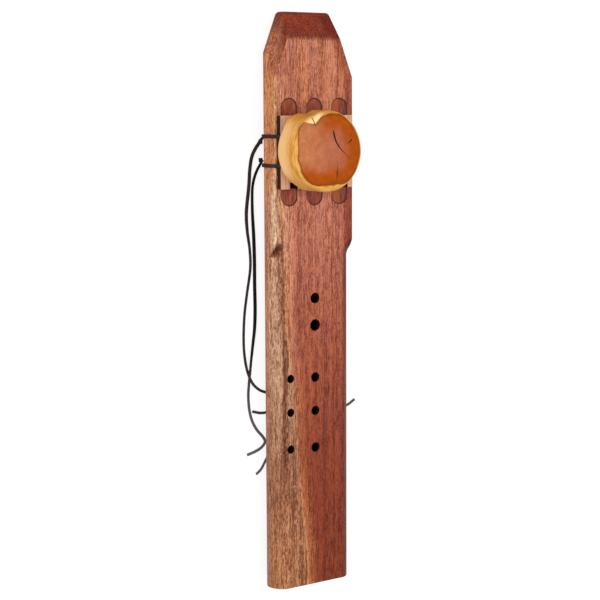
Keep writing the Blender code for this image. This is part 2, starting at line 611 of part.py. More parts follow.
make_boards(flute, body_wood)
for bore_name in BORE_X:
    make_inlay(bore_name, flute, inlay_wood)
    make_plug(bore_name, flute, plug_wood)
make_block(block, base_wood, plate_wood, knob_wood, peg_wood)
make_laces(flute, lace_leather)
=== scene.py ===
"""Looks of the triple drone flute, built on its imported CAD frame.

The foot of the flute is at -Y, its mouth end at +Y and its front face looks up. It lies on the floor,
z = 0, on its own laces. Lengths are metres. Places are given as in the part's source, where x runs
from the centre line and y from the foot, and at() puts them into the scene.
"""
import math

import bmesh
import bpy
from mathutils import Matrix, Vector


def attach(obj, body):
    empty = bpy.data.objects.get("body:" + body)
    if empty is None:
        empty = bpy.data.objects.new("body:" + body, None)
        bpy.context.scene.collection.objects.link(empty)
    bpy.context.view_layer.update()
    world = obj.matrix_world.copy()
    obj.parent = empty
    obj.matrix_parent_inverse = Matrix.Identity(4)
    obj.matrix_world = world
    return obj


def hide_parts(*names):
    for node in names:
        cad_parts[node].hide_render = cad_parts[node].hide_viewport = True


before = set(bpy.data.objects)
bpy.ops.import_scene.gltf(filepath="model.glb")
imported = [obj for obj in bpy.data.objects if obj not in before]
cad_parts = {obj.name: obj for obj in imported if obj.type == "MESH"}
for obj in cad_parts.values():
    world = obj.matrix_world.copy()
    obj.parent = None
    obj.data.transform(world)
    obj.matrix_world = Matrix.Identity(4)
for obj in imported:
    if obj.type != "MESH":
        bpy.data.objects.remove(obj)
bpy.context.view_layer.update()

# Sizes of the flute, as in the part's source
FIT_GAP = 0.0003
CENTRE_X = 0.002675
BODY_LENGTH = 0.6100
BODY_WIDTH = 0.0977
BODY_THICKNESS = 0.0291
BACK_ROUND_RADIUS = 0.0104
FRONT_ROUND_RADIUS = 0.0169
FRONT_ROUND_STOP_Y = 0.3540
ROUTER_BEARING_RADIUS = 0.0080
FACET_LENGTH = 0.0680
FACET_TAPER = 0.39
FACET_LEAN = 0.41
LIP_BEVEL_LENGTH = 0.0270
LIP_HEIGHT = 0.0125
LIP_ROUND_RADIUS = 0.0030
BORE_RADIUS = 0.0110
BORE_X = {"left": -0.0316, "middle": 0.0, "right": 0.0316}
CHAMBER_END_Y = 0.5450
BLOW_HOLE_RADIUS = 0.0025
BLOW_HOLE_PITCH = 0.0100
BLOW_HOLE_HEIGHT = 0.0065
FINGER_HOLES = {
    "left": ((0.1519, 0.0080), (0.1916, 0.0080), (0.2278, 0.0080)),
    "middle": ((0.1505, 0.0094), (0.1905, 0.0091), (0.2267, 0.0093), (0.2827, 0.0114), (0.3115, 0.0103)),
    "right": (),
}
INLAY_Y = 0.4099
INLAY_LENGTH = 0.1114
INLAY_WIDTH = 0.0195
INLAY_THICKNESS = 0.0032
WINDOW_WIDTH = 0.0098
WINDOW_LENGTH = 0.0066
FLUE_DEPTH = 0.0010
AIR_HOLE_Y = 0.4860
AIR_HOLE_LENGTH = 0.0090
BLOCK_X = -0.0020
BLOCK_Y = 0.4280
BLOCK_WIDTH = 0.0896
BLOCK_LENGTH = 0.0755
BASE_THICKNESS = 0.0062
PLATE_THICKNESS = 0.0017
NOTCH_DEPTH = 0.0070
PEG_RADIUS = 0.00635
PEG_DEPTH = 0.0130
KNOB_X = -0.0150
KNOB_Y = 0.4675
KNOB_RADIUS = 0.0415
KNOB_HEIGHT = 0.0400
KNOB_DOME = 0.0030
KNOB_EDGE_RADIUS = 0.0080
LACE_WIDTH = 0.0040
LACE_THICKNESS = 0.0020
UPPER_WRAP_Y = 0.4820
LOWER_WRAP_Y = 0.4520
KNOT_RADIUS = 0.0026
KNOT_STRETCH = 1.2
LINK_X = -0.0220

BACK_Z = LACE_THICKNESS + FIT_GAP
FACE_Z = BACK_Z + BODY_THICKNESS
BORE_Z = BACK_Z + BODY_THICKNESS / 2
BASE_Z = FACE_Z + FIT_GAP
PLATE_Z = BASE_Z + BASE_THICKNESS + FIT_GAP
BLOCK_TOP_Z = PLATE_Z + PLATE_THICKNESS
KNOB_Z = BLOCK_TOP_Z + LACE_THICKNESS + 3 * FIT_GAP
FOOT_Y = -BODY_LENGTH / 2

# How far edges are eased with sandpaper; on the boards, only long and sharp edges of the front are
FACET_EASE = 0.0010
EASED_LENGTH = 0.0150
EASED_ANGLE = math.radians(25)
BEVEL_START_EASE = 0.0045
HOLE_EASE = 0.0006
INLAY_EASE = 0.00025
BASE_EASE = 0.0004
PLATE_EASE = 0.0003

# How far a cutter reaches past what it cuts, what is lost between the boards, the leftward shift of the
# painted shade round each inlay, which makes it heavier at its right, and how near two corners are merged
CUT_MARGIN = 0.0100
GLUE_LINE = 0.00006
GAP_SHADE_SHIFT = 0.0004
MERGE_DISTANCE = 0.000001

# Routes of the loose lace ends, with y counted from the wrap that each one leaves. A place without a
# height lies on the floor.
LACE_ON_FLOOR = LACE_THICKNESS / 2
LACE_OVER_LACE = LACE_ON_FLOOR + LACE_THICKNESS + 2 * FIT_GAP
KNOT_HEIGHT = KNOT_RADIUS + FIT_GAP
UPPER_LONG_ROUTE = (
    (-0.0503, -0.0016, 0.0092), (-0.0502, -0.0029, 0.0072), (-0.0503, -0.0045, 0.0054),
    (-0.0507, -0.0064, 0.0038), (-0.0515, -0.0087, 0.0025), (-0.0530, -0.0112, 0.0016),
    (-0.0549, -0.0143, 0.0011), (-0.0570, -0.0182), (-0.0590, -0.0236), (-0.0601, -0.0296),
    (-0.0611, -0.0367), (-0.0617, -0.0462), (-0.0627, -0.0557), (-0.0655, -0.0790), (-0.0646, -0.0980),
    (-0.0617, -0.1180), (-0.0612, -0.1380), (-0.0655, -0.1640), (-0.0688, -0.1860), (-0.0702, -0.2100),
    (-0.0694, -0.2290), (-0.0662, -0.2460), (-0.0600, -0.2600), (-0.0510, -0.2685), (-0.0420, -0.2725),
    (-0.0345, -0.2785), (-0.0335, -0.2870), (-0.0400, -0.2930), (-0.0500, -0.2935), (-0.0600, -0.2908),
)
LOWER_LONG_ROUTE = (
    (-0.0503, 0.0048, 0.0092), (-0.0501, 0.0035, 0.0072), (-0.0501, 0.0019, 0.0054),
    (-0.0504, -0.0002, 0.0038), (-0.0513, -0.0028, 0.0025), (-0.0525, -0.0058, 0.0016),
    (-0.0541, -0.0098, 0.0011), (-0.0556, -0.0140), (-0.0569, -0.0188), (-0.0577, -0.0238),
    (-0.0581, -0.0310), (-0.0580, -0.0500), (-0.0568, -0.0740), (-0.0561, -0.1000), (-0.0561, -0.1260),
    (-0.0558, -0.1520), (-0.0568, -0.1720, 0.0012), (-0.0592, -0.1860, 0.0021), (-0.0614, -0.1980, 0.0030),
    (-0.0632, -0.2090, LACE_OVER_LACE), (-0.0645, -0.2200, LACE_OVER_LACE), (-0.0652, -0.2310, 0.0026),
    (-0.0653, -0.2430, 0.0014), (-0.0642, -0.2570), (-0.0610, -0.2700), (-0.0550, -0.2810),
    (-0.0475, -0.2895), (-0.0446, -0.2955), (-0.0490, -0.3010), (-0.0570, -0.3045), (-0.0670, -0.3070),
)
UPPER_INNER_ROUTE = (
    (-0.0220, -0.0323), (-0.0200, -0.0520), (-0.0120, -0.0920), (-0.0010, -0.1420), (0.0080, -0.1920),
    (0.0180, -0.2400), (0.0290, -0.2760), (0.0410, -0.2940), (0.0530, -0.2995), (0.0640, -0.2975),
    (0.0735, -0.2925),
)
LOWER_INNER_ROUTE = (
    (-0.0310, -0.0023), (-0.0320, -0.0220), (-0.0290, -0.0620), (-0.0230, -0.1120), (-0.0170, -0.1620),
    (-0.0150, -0.2120), (-0.0190, -0.2520), (-0.0270, -0.2820), (-0.0370, -0.3040), (-0.0450, -0.3175),
    (-0.0500, -0.3250), (-0.0560, -0.3295),
)

# How wide each lace is cut: metres along it, and share of its full width
UPPER_LONG_CUT = ((0.0, 1.0), (0.085, 1.0), (0.120, 0.78), (0.360, 0.74))
LOWER_LONG_CUT = ((0.0, 0.80), (0.045, 0.80), (0.080, 1.0), (0.170, 1.0), (0.215, 0.76), (0.360, 0.80))
INNER_CUT = ((0.0, 0.90), (0.200, 0.80), (0.360, 0.70))

# Laces: places per stretch of route, distance between the places kept, and angle between those of a tie
ROUTE_FINENESS = 24
LACE_SPACING = 0.0025
TIE_TURN = math.radians(7)

# The ties stand a little off their wraps' places, and shift along the body near its left edge
TIE_SHIFT_REACH = 0.0200
UPPER_TIE_OFFSET = -0.0004
UPPER_TIE_SHIFT = 0.0006
LOWER_TIE_OFFSET = 0.0010
LOWER_TIE_SHIFT = -0.0010

# A tie knot's places, the radius of its cord and how deep it is drawn, and the ease of the link's edges
TIE_KNOT_PLACES = 48
TIE_KNOT_CORD_RADIUS = 0.00115
TIE_KNOT_DEPTH = 2.4
LINK_EASE = 0.45 * LACE_THICKNESS

# Camera: millimetres of lens and sensor, place in metres, and turn in degrees
LENS = 91.535
SENSOR_WIDTH = 36.0
CAMERA_PLACE = (-0.89997, 0.21014, 1.35374)
CAMERA_TURN = (-7.1344, -33.7854, -0.3341)


def at(x, y, z):
    """A place on the flute as a place in the scene."""
    return Vector((CENTRE_X + x, FOOT_Y + y, z))


# Camera

def make_camera():
    """A long lens, turned to look at the flute from above its left side."""
    lens = bpy.data.cameras.new("photo_camera")
    lens.lens = LENS
    lens.sensor_width = SENSOR_WIDTH
    camera = bpy.data.objects.new("photo_camera", lens)
    camera.location = CAMERA_PLACE
    camera.rotation_euler = [math.radians(angle) for angle in CAMERA_TURN]
    bpy.context.collection.objects.link(camera)
    bpy.context.scene.camera = camera


# Modelling steps

def select_nothing():
    bpy.ops.object.select_all(action="DESELECT")


def take(piece):
    """Selects one piece alone and makes it the active one."""
    select_nothing()
    piece.select_set(True)
    bpy.context.view_layer.objects.active = piece


def begin_edit():
    bpy.ops.object.mode_set(mode="EDIT")
    bpy.ops.mesh.select_all(action="SELECT")


def end_edit():
    bpy.ops.object.mode_set(mode="OBJECT")


def close_up():
    """In edit mode, merges corners that meet, turns all faces outwards and ends the edit."""
    bpy.ops.mesh.select_all(action="SELECT")
    bpy.ops.mesh.remove_doubles(threshold=MERGE_DISTANCE)
    bpy.ops.mesh.normals_make_consistent(inside=False)
    end_edit()


def pick(kind, wanted):
    """In edit mode, selects only the vertices, edges or faces that are wanted."""
    bpy.ops.mesh.select_mode(type={"verts": "VERT", "edges": "EDGE", "faces": "FACE"}[kind])
    bpy.ops.mesh.select_all(action="DESELECT")
    mesh = bpy.context.object.data
    shape = bmesh.from_edit_mesh(mesh)
    for item in getattr(shape, kind):
        if wanted(item):
            item.select_set(True)
    shape.select_flush_mode()
    bmesh.update_edit_mesh(mesh)


def wood_block(name, low, high):
    """A squared block of wood between two corners."""
    select_nothing()
    bpy.ops.mesh.primitive_cube_add(size=1, location=(low + high) / 2)
    piece = bpy.context.object
    piece.name = name
    piece.scale = high - low
    bpy.ops.object.transform_apply(location=True, rotation=True, scale=True)
    return piece


def drill(name, start, end, radius, sides=64):
    """A round rod from one place to another, to drill a hole with."""
    select_nothing()
    along = end - start
    turn = along.to_track_quat("Z", "Y").to_euler()
    bpy.ops.mesh.primitive_cylinder_add(vertices=sides, radius=radius, depth=along.length,
                                        location=(start + end) / 2, rotation=turn)
    piece = bpy.context.object
    piece.name = name
    bpy.ops.object.transform_apply(location=True, rotation=True, scale=True)
    return piece


def drawn_line(name, places):
    """One corner pulled out into a line of edges through the places, left in edit mode."""
    select_nothing()
    bpy.ops.mesh.primitive_plane_add(size=0.001, location=places[0])
    bpy.context.object.name = name
    bpy.ops.object.transform_apply(location=True, rotation=True, scale=True)
    begin_edit()
    bpy.ops.mesh.select_mode(type="VERT")
    bpy.ops.mesh.merge(type="CENTER")
    for here, after in zip(places, places[1:]):
        bpy.ops.mesh.extrude_region_move(TRANSFORM_OT_translate={"value": after - here})
    bpy.ops.mesh.select_all(action="SELECT")
    return bpy.context.object


def turned(name, places, centre, steps):
    """A solid turned on a lathe from its half profile, which starts and ends on the upright axis."""
    piece = drawn_line(name, places)
    bpy.ops.mesh.spin(steps=steps, angle=2 * math.pi, center=centre, axis=(0, 0, 1))
    close_up()
    return piece


def arc(centre, radius, start, end, steps):
    """Places along an arc in the plane across the flute, from one angle to another."""
    angles = [start + (end - start) * step / steps for step in range(steps + 1)]
    return [centre + Vector((radius * math.cos(angle), 0, radius * math.sin(angle))) for angle in angles]


def cut(piece, *tools, operation="DIFFERENCE"):
    """Cuts tools out of a piece; walls cut by a tool that has a material keep that material."""
    take(piece)
    for tool in tools:
        modifier = piece.modifiers.new(tool.name, "BOOLEAN")
        modifier.object = tool
        modifier.operation = operation
        modifier.solver = "EXACT"
        modifier.material_mode = "TRANSFER" if tool.data.materials else "INDEX"
        bpy.ops.object.modifier_apply(modifier=modifier.name)


def drop(*tools):
    for tool in tools:
        bpy.data.objects.remove(tool)


def smooth(piece, angle=30):
    """Rounds shade as rounds, and flat faces stay flat up to their edges."""
    take(piece)
    bpy.ops.object.shade_smooth_by_angle(angle=math.radians(angle))
    modifier = piece.modifiers.new("flat faces", "WEIGHTED_NORMAL")
    modifier.keep_sharp = True
    bpy.ops.object.modifier_apply(modifier=modifier.name)


def finish_with(piece, material):
    """Puts a finish on a whole piece, before anything is cut into it."""
    piece.data.materials.append(material)
    return piece


def dress(piece, body, slot, *nodes):
    """Attaches a finished piece to its body and hides the CAD nodes it stands for; its finish slot is not
    used.
    """
    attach(piece, body)
    if nodes:
        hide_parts(*nodes)


# Laces

def smooth_route(route, wrap_y, spacing):
    """Evenly spaced places along the smooth curve through a lace's route."""
    knots = [at(x, wrap_y + y, *(height or [LACE_ON_FLOOR])) for x, y, *height in route]
    knots = [2 * knots[0] - knots[1]] + knots + [2 * knots[-1] - knots[-2]]
    fine = []
    for before, start, end, after in zip(knots, knots[1:], knots[2:], knots[3:]):
        for step in range(ROUTE_FINENESS):
            t = step / ROUTE_FINENESS
            straight = 2 * start + (end - before) * t
            bend = (2 * before - 5 * start + 4 * end - after) * t ** 2
            twist = (3 * start - before - 3 * end + after) * t ** 3
            fine.append((straight + bend + twist) / 2)
    fine.append(knots[-2])
    travelled = [0.0]
    for one, two in zip(fine, fine[1:]):
        travelled.append(travelled[-1] + (two - one).length)
    count = round(travelled[-1] / spacing)
    places = []
    index = 0
    for step in range(count + 1):
        target = travelled[-1] * step / count
        while index < len(fine) - 2 and travelled[index + 1] < target:
            index += 1
        share = (target - travelled[index]) / (travelled[index + 1] - travelled[index])
        places.append(fine[index].lerp(fine[index + 1], share))
    return places, travelled[-1]


def share_at(stops, distance):
    """The share that a list of stops gives at a distance, evenly between two stops."""
    for (start, low), (end, high) in zip(stops, stops[1:]):
        if distance <= end:
            return low + (high - low) * (distance - start) / (end - start)
    return stops[-1][1]


def lace_curve(name, dimensions, places, edge_radius, spread, rounding):
    """A curve through the places with a lace's section: round edges, spread to both sides of the middle."""
    curve = bpy.data.curves.new(name, "CURVE")
    curve.dimensions = dimensions
    curve.bevel_depth = edge_radius
    curve.extrude = spread
    curve.bevel_resolution = rounding
    spline = curve.splines.new("POLY")
    spline.points.add(len(places) - 1)
    for point, place in zip(spline.points, places):
        point.co = (*place, 1)
    lace = bpy.data.objects.new(name, curve)
    bpy.context.collection.objects.link(lace)
    return lace, curve, spline


def lace_end(name, route, wrap_y, leather, node, cut_widths):
    """A loose end of flat lace lying on its wide side, cut unevenly from the hide."""
    places, length = smooth_route(route, wrap_y, LACE_SPACING)
    lace, curve, spline = lace_curve(name, "3D", places, LACE_THICKNESS / 2,
                                     (LACE_WIDTH - LACE_THICKNESS) / 2, rounding=3)
    curve.twist_mode = "Z_UP"
    curve.use_fill_caps = True
    for index, point in enumerate(spline.points):
        point.radius = share_at(cut_widths, length * index / (len(places) - 1))
        point.co.z -= (1 - point.radius) * LACE_THICKNESS / 2
        point.tilt = math.pi / 2
    spline.use_smooth = True
    dress(finish_with(lace, leather), "body", "lace_leather", node)


def band_outline(corners, offset):
    """A taut band around a convex ring of corner circles (x, z, radius), counter-clockwise, laid flat."""
    normals = []
    for here, after in zip(corners, corners[1:] + corners[:1]):
        along = Vector((after[0] - here[0], after[1] - here[1]))
        lean = math.asin((here[2] - after[2]) / along.length)
        normals.append(math.atan2(along.y, along.x) - math.pi / 2 + lean)
    outline = []
    for corner, start, end in zip(corners, normals[-1:] + normals[:-1], normals):
        swing = (end - start) % (2 * math.pi)
        steps = max(2, round(swing / TIE_TURN))
        for step in range(steps + 1):
            angle = start + swing * step / steps
            reach = corner[2] + offset
            outline.append((corner[0] + reach * math.cos(angle), corner[1] + reach * math.sin(angle), 0))
    return outline


def tie_band(name, y, leather, node, shift):
    """The lace where it is pulled tight round the body and over the block."""
    side, sharp = BODY_WIDTH / 2, FIT_GAP
    back_x, back_z = side - BACK_ROUND_RADIUS, BACK_Z + BACK_ROUND_RADIUS
    block_low, block_high = BLOCK_X - BLOCK_WIDTH / 2 + sharp, BLOCK_X + BLOCK_WIDTH / 2 - sharp
    corners = [(-back_x, back_z, BACK_ROUND_RADIUS), (back_x, back_z, BACK_ROUND_RADIUS),
               (side - sharp, FACE_Z - sharp, sharp), (block_high, BLOCK_TOP_Z - sharp, sharp),
               (block_low, BLOCK_TOP_Z - sharp, sharp), (-side + sharp, FACE_Z - sharp, sharp)]
    outline = band_outline(corners, FIT_GAP + LACE_THICKNESS / 2)
    band, curve, spline = lace_curve(name, "2D", outline, LACE_THICKNESS / 2,
                                     (LACE_WIDTH - LACE_THICKNESS) / 2, rounding=4)
    curve.fill_mode = "NONE"
    spline.use_cyclic_u = True
    take(band)
    bpy.ops.object.convert(target="MESH")
    band = bpy.context.object
    band.rotation_euler = (math.pi / 2, 0, 0)
    band.location = at(0, y, 0)
    bpy.ops.object.transform_apply(location=True, rotation=True, scale=True)
    begin_edit()
    close_up()
    left_edge = at(-side, 0, 0).x
    for vert in band.data.vertices:
        near_left = 1 - (vert.co.x - left_edge) / TIE_SHIFT_REACH
        vert.co.y += shift * min(1.0, max(0.0, near_left))
    smooth(band, angle=50)
    dress(finish_with(band, leather), "body", "lace_leather", node)


def tie_knot(name, y, leather, node):
    """A small overhand knot, pulled tight against the back edge."""
    centre = at(-BODY_WIDTH / 2 + FIT_GAP, y, KNOT_HEIGHT)
    reach = (KNOT_RADIUS - TIE_KNOT_CORD_RADIUS) / 3
    places = []
    for index in range(TIE_KNOT_PLACES):
        t = 2 * math.pi * index / TIE_KNOT_PLACES
        places.append(centre + reach * Vector((math.sin(t) + 2 * math.sin(2 * t),
                                               KNOT_STRETCH * (math.cos(t) - 2 * math.cos(2 * t)),
                                               -TIE_KNOT_DEPTH * math.sin(3 * t))))
    knot, _, spline = lace_curve(name, "3D", places, TIE_KNOT_CORD_RADIUS, 0, rounding=3)
    spline.use_cyclic_u = True
    spline.use_smooth = True
    dress(finish_with(knot, leather), "body", "lace_leather", node)


def tie_link(name, leather, node):
    """The short run of lace under the body from one tie to the other."""
    half = LACE_WIDTH / 2 + FIT_GAP
    link = wood_block(name, at(LINK_X - LACE_WIDTH / 2, LOWER_WRAP_Y + half, 0),
                      at(LINK_X + LACE_WIDTH / 2, UPPER_WRAP_Y - half, LACE_THICKNESS))
    begin_edit()
    pick("edges", lambda edge: abs(edge.verts[0].co.y - edge.verts[1].co.y) > LACE_WIDTH)
    bpy.ops.mesh.bevel(offset=LINK_EASE, segments=4, affect="EDGES")
    end_edit()
    smooth(link, angle=50)
    dress(finish_with(link, leather), "body", "lace_leather", node)


# Body boards

def plank(name):
    """The glued-up plank before boring: mouth end planed to a lip, back edges rounded over."""
    low = at(-BODY_WIDTH / 2, 0, BACK_Z)
    high = at(BODY_WIDTH / 2, BODY_LENGTH, FACE_Z)
    piece = wood_block(name, low, high)
    begin_edit()
    bevel_start = at(0, BODY_LENGTH - LIP_BEVEL_LENGTH, FACE_Z)
    planes = [(bevel_start, (0, BODY_THICKNESS - LIP_HEIGHT, LIP_BEVEL_LENGTH))]
    for side in (-1, 1):
        start = at(side * BODY_WIDTH / 2, BODY_LENGTH - FACET_LENGTH, FACE_Z)
        planes.append((start, (side, FACET_TAPER, FACET_LEAN)))
    for place, normal in planes:
        bpy.ops.mesh.select_all(action="SELECT")
        bpy.ops.mesh.bisect(plane_co=place, plane_no=Vector(normal).normalized(), use_fill=True,
                            clear_outer=True)

    def on_back(edge):
        return all(abs(vert.co.z - BACK_Z) < FIT_GAP for vert in edge.verts)

    def at_tip(edge):
        return all(abs(vert.co.y - high.y) < FIT_GAP for vert in edge.verts)

    def at_bevel_start(edge):
        return all(abs(vert.co.y - high.y + LIP_BEVEL_LENGTH) < FIT_GAP for vert in edge.verts)

    def lowest(edge):
        return min(vert.co.z for vert in edge.verts)

    pick("edges", lambda edge: on_back(edge) and not at_tip(edge))
    bpy.ops.mesh.bevel(offset=BACK_ROUND_RADIUS, segments=16, affect="EDGES")
    front = BACK_Z + LIP_HEIGHT - FIT_GAP
    pick("edges", lambda edge: at_tip(edge) and lowest(edge) < front)
    bpy.ops.mesh.bevel(offset=LIP_ROUND_RADIUS, segments=6, affect="EDGES")
    pick("edges", lambda edge: at_bevel_start(edge) and lowest(edge) > FACE_Z - FIT_GAP)
    bpy.ops.mesh.bevel(offset=BEVEL_START_EASE, segments=8, affect="EDGES")
    pick("edges", lambda edge: edge.calc_length() > EASED_LENGTH and edge.calc_face_angle(0) > EASED_ANGLE
         and lowest(edge) > front)
    bpy.ops.mesh.bevel(offset=FACET_EASE, segments=4, affect="EDGES")
    end_edit()
    return piece


def router_cuts(side):
    """What a rounding bit takes off one front edge: its straight run, and the bit standing at the stop."""
    axis = at(side * (BODY_WIDTH / 2 + ROUTER_BEARING_RADIUS), FRONT_ROUND_STOP_Y, 0)
    reach = ROUTER_BEARING_RADIUS + FRONT_ROUND_RADIUS
    low, top = Vector((0, 0, FACE_Z - FRONT_ROUND_RADIUS)), Vector((0, 0, FACE_Z + CUT_MARGIN))
    inward = Vector((-side * reach, 0, 0))
    cove = arc(axis + inward + low, FRONT_ROUND_RADIUS, math.pi if side < 0 else 0, math.pi / 2, steps=24)
    profile = [axis + low, *cove, axis + inward + top, axis + top]
    bit = turned("router_bit", profile, axis, steps=96)
    run = drawn_line("router_run", profile)
    bpy.ops.mesh.edge_face_add()
    back_to_foot = Vector((0, -FRONT_ROUND_STOP_Y - CUT_MARGIN, 0))
    bpy.ops.mesh.extrude_region_move(TRANSFORM_OT_translate={"value": back_to_foot})
    close_up()
    return [bit, run]


def slot_cutter(name, width, low, length, z, height):
    """A slot with round ends, running along the flute."""
    radius = width / 2
    piece = drill(name, low + Vector((0, radius, z)), low + Vector((0, radius, z + height)), radius)
    begin_edit()
    pick("verts", lambda vert: vert.co.y > low.y + radius + FIT_GAP)
    bpy.ops.transform.translate(value=(0, length - width, 0))
    end_edit()
    return piece


def finger_hole_cutter(x, y, diameter):
    """A drill with a flared shank, which leaves the hole's rim eased for the fingertip."""
    base, radius = at(x, y, 0), diameter / 2
    shank = radius + HOLE_EASE
    rim = arc(Vector((shank, 0, FACE_Z - HOLE_EASE)), HOLE_EASE, math.pi, math.pi / 2, steps=4)
    profile = [Vector((0, 0, BORE_Z)), Vector((radius, 0, BORE_Z)), *rim,
               Vector((shank, 0, FACE_Z + CUT_MARGIN)), Vector((0, 0, FACE_Z + CUT_MARGIN))]
    return turned("finger_hole", [base + place for place in profile], base, steps=48)


def make_boards(front_wood, back_wood, shade):
    """The two glued boards, bored, drilled and let in for the inlays; shade is the finish of the holes'
    walls, painted dark as their shade.
    """
    low, high = at(-BODY_WIDTH, -CUT_MARGIN, 0), at(BODY_WIDTH, BODY_LENGTH + CUT_MARGIN, 0)
    seam = GLUE_LINE / 2
    upper_half = wood_block("upper_half", low + Vector((0, 0, BORE_Z - seam)),
                            high + Vector((0, 0, FACE_Z + CUT_MARGIN)))
    lower_half = wood_block("lower_half", low + Vector((0, 0, BACK_Z - CUT_MARGIN)),
                            high + Vector((0, 0, BORE_Z + seam)))
    shared = router_cuts(-1) + router_cuts(1)
    front_only = []
    for column, (bore, x) in enumerate(BORE_X.items()):
        end = at(x, CHAMBER_END_Y, BORE_Z)
        shared.append(finish_with(drill("bore", at(x, -CUT_MARGIN, BORE_Z), end, BORE_RADIUS), shade))
        inside = end - Vector((0, BORE_RADIUS / 2, 0))
        mouth = at((column - 1) * BLOW_HOLE_PITCH, BODY_LENGTH, BACK_Z + BLOW_HOLE_HEIGHT)
        shared.append(drill("blow_hole", inside, mouth + (mouth - inside).normalized() * CUT_MARGIN,
                            BLOW_HOLE_RADIUS, sides=32))
        corner = at(x, INLAY_Y - FIT_GAP, 0)
        front_only.append(slot_cutter("pocket", INLAY_WIDTH + 2 * FIT_GAP, corner,
                                      INLAY_LENGTH + 2 * FIT_GAP, BORE_Z, BODY_THICKNESS))
        for y, diameter in FINGER_HOLES[bore]:
            front_only.append(finish_with(finger_hole_cutter(x, y, diameter), shade))
    front = finish_with(plank("shaped_front_board"), front_wood)
    cut(front, lower_half, *shared, *front_only)
    smooth(front)
    dress(front, "body", "body_wood", "front_board")
    back = finish_with(plank("shaped_back_board"), back_wood)
    cut(back, upper_half, *shared)
    smooth(back)
    dress(back, "body", "body_wood", "back_board")
    drop(upper_half, lower_half, *shared, *front_only)


def make_inlay(bore, wood, shade):
    """A strip let into the face over a bore, with its window, flue and air hole cut through."""
    x = BORE_X[bore]
    low_z = FACE_Z - INLAY_THICKNESS
    strip = slot_cutter(f"{bore}_inlay_strip", INLAY_WIDTH, at(x, INLAY_Y, 0), INLAY_LENGTH, low_z,
                        INLAY_THICKNESS)
    finish_with(strip, wood)
    begin_edit()
    pick("edges", lambda edge: all(vert.co.z > FACE_Z - FIT_GAP for vert in edge.verts))
    bpy.ops.mesh.bevel(offset=INLAY_EASE, segments=2, affect="EDGES")
    end_edit()
    half, top = WINDOW_WIDTH / 2, FACE_Z + CUT_MARGIN
    window_end = BLOCK_Y + FIT_GAP + WINDOW_LENGTH
    openings = [
        wood_block("window", at(x - half, BLOCK_Y + FIT_GAP, low_z - CUT_MARGIN),
                   at(x + half, window_end, top)),
        wood_block("flue", at(x - half, window_end - FIT_GAP, FACE_Z - FLUE_DEPTH),
                   at(x + half, AIR_HOLE_Y + FIT_GAP, top)),
        wood_block("air_hole", at(x - half, AIR_HOLE_Y, low_z - CUT_MARGIN),
                   at(x + half, AIR_HOLE_Y + AIR_HOLE_LENGTH, top)),
    ]
    # The openings' walls take the hole finish, which paints their shade.
    cut(strip, *[finish_with(opening, shade) for opening in openings])
    drop(*openings)
    smooth(strip)
    dress(strip, "body", "inlay_wood", f"{bore}_inlay")


# Block and knob

def block_layer(name, low_z, thickness, ease, wood, shade, slot, node):
    """One layer of the block, with its corners eased and its three window notches sawn."""
    low = at(BLOCK_X - BLOCK_WIDTH / 2, BLOCK_Y, low_z)
    high = at(BLOCK_X + BLOCK_WIDTH / 2, BLOCK_Y + BLOCK_LENGTH, low_z + thickness)
    layer = finish_with(wood_block(name, low, high), wood)
    begin_edit()
    bpy.ops.mesh.bevel(offset=ease, segments=2, affect="EDGES")
    end_edit()
    half = WINDOW_WIDTH / 2
    notches = [wood_block("notch", at(x - half, BLOCK_Y - CUT_MARGIN, FACE_Z - CUT_MARGIN),
                          at(x + half, BLOCK_Y + NOTCH_DEPTH, BLOCK_TOP_Z + CUT_MARGIN))
               for x in BORE_X.values()]
    hole = drill("peg_hole", at(KNOB_X, KNOB_Y, FACE_Z), at(KNOB_X, KNOB_Y, KNOB_Z), PEG_RADIUS + FIT_GAP)
    # The notches' walls take the hole finish, which paints their shade.
    cut(layer, *[finish_with(notch, shade) for notch in notches], hole)
    drop(*notches, hole)
    smooth(layer)
    dress(layer, "block", slot, node)


# Hollows and swells of the branch's own shape: push, reach, and the place from the middle of the knob's foot
KNOB_HOLLOWS = (
    ((0.0005, -0.0024, 0.0), 0.0090, -0.0080, 0.0407, 0.0060),
    ((0.0005, -0.0023, 0.0), 0.0090, -0.0094, 0.0404, 0.0120),
    ((0.0006, -0.0022, 0.0), 0.0090, -0.0124, 0.0396, 0.0200),
    ((0.0007, -0.0020, 0.0), 0.0090, -0.0160, 0.0383, 0.0290),
    ((0.0003, -0.0006, -0.0005), 0.0070, -0.0178, 0.0346, 0.0372),
    ((-0.0010, 0.0016, 0.0), 0.0130, -0.0240, 0.0339, 0.0060),
    ((-0.0011, 0.0011, 0.0), 0.0130, -0.0293, 0.0293, 0.0080),
    ((-0.0006, 0.0006, 0.0), 0.0130, -0.0310, 0.0275, 0.0220),
    ((0.0009, 0.0002, 0.0), 0.0150, -0.0395, -0.0120, 0.0150),
    ((0.0004, 0.0006, 0.0), 0.0120, -0.0235, -0.0342, 0.0050),
    ((0.0004, -0.0008, 0.0), 0.0140, 0.0200, 0.0360, 0.0240),
)

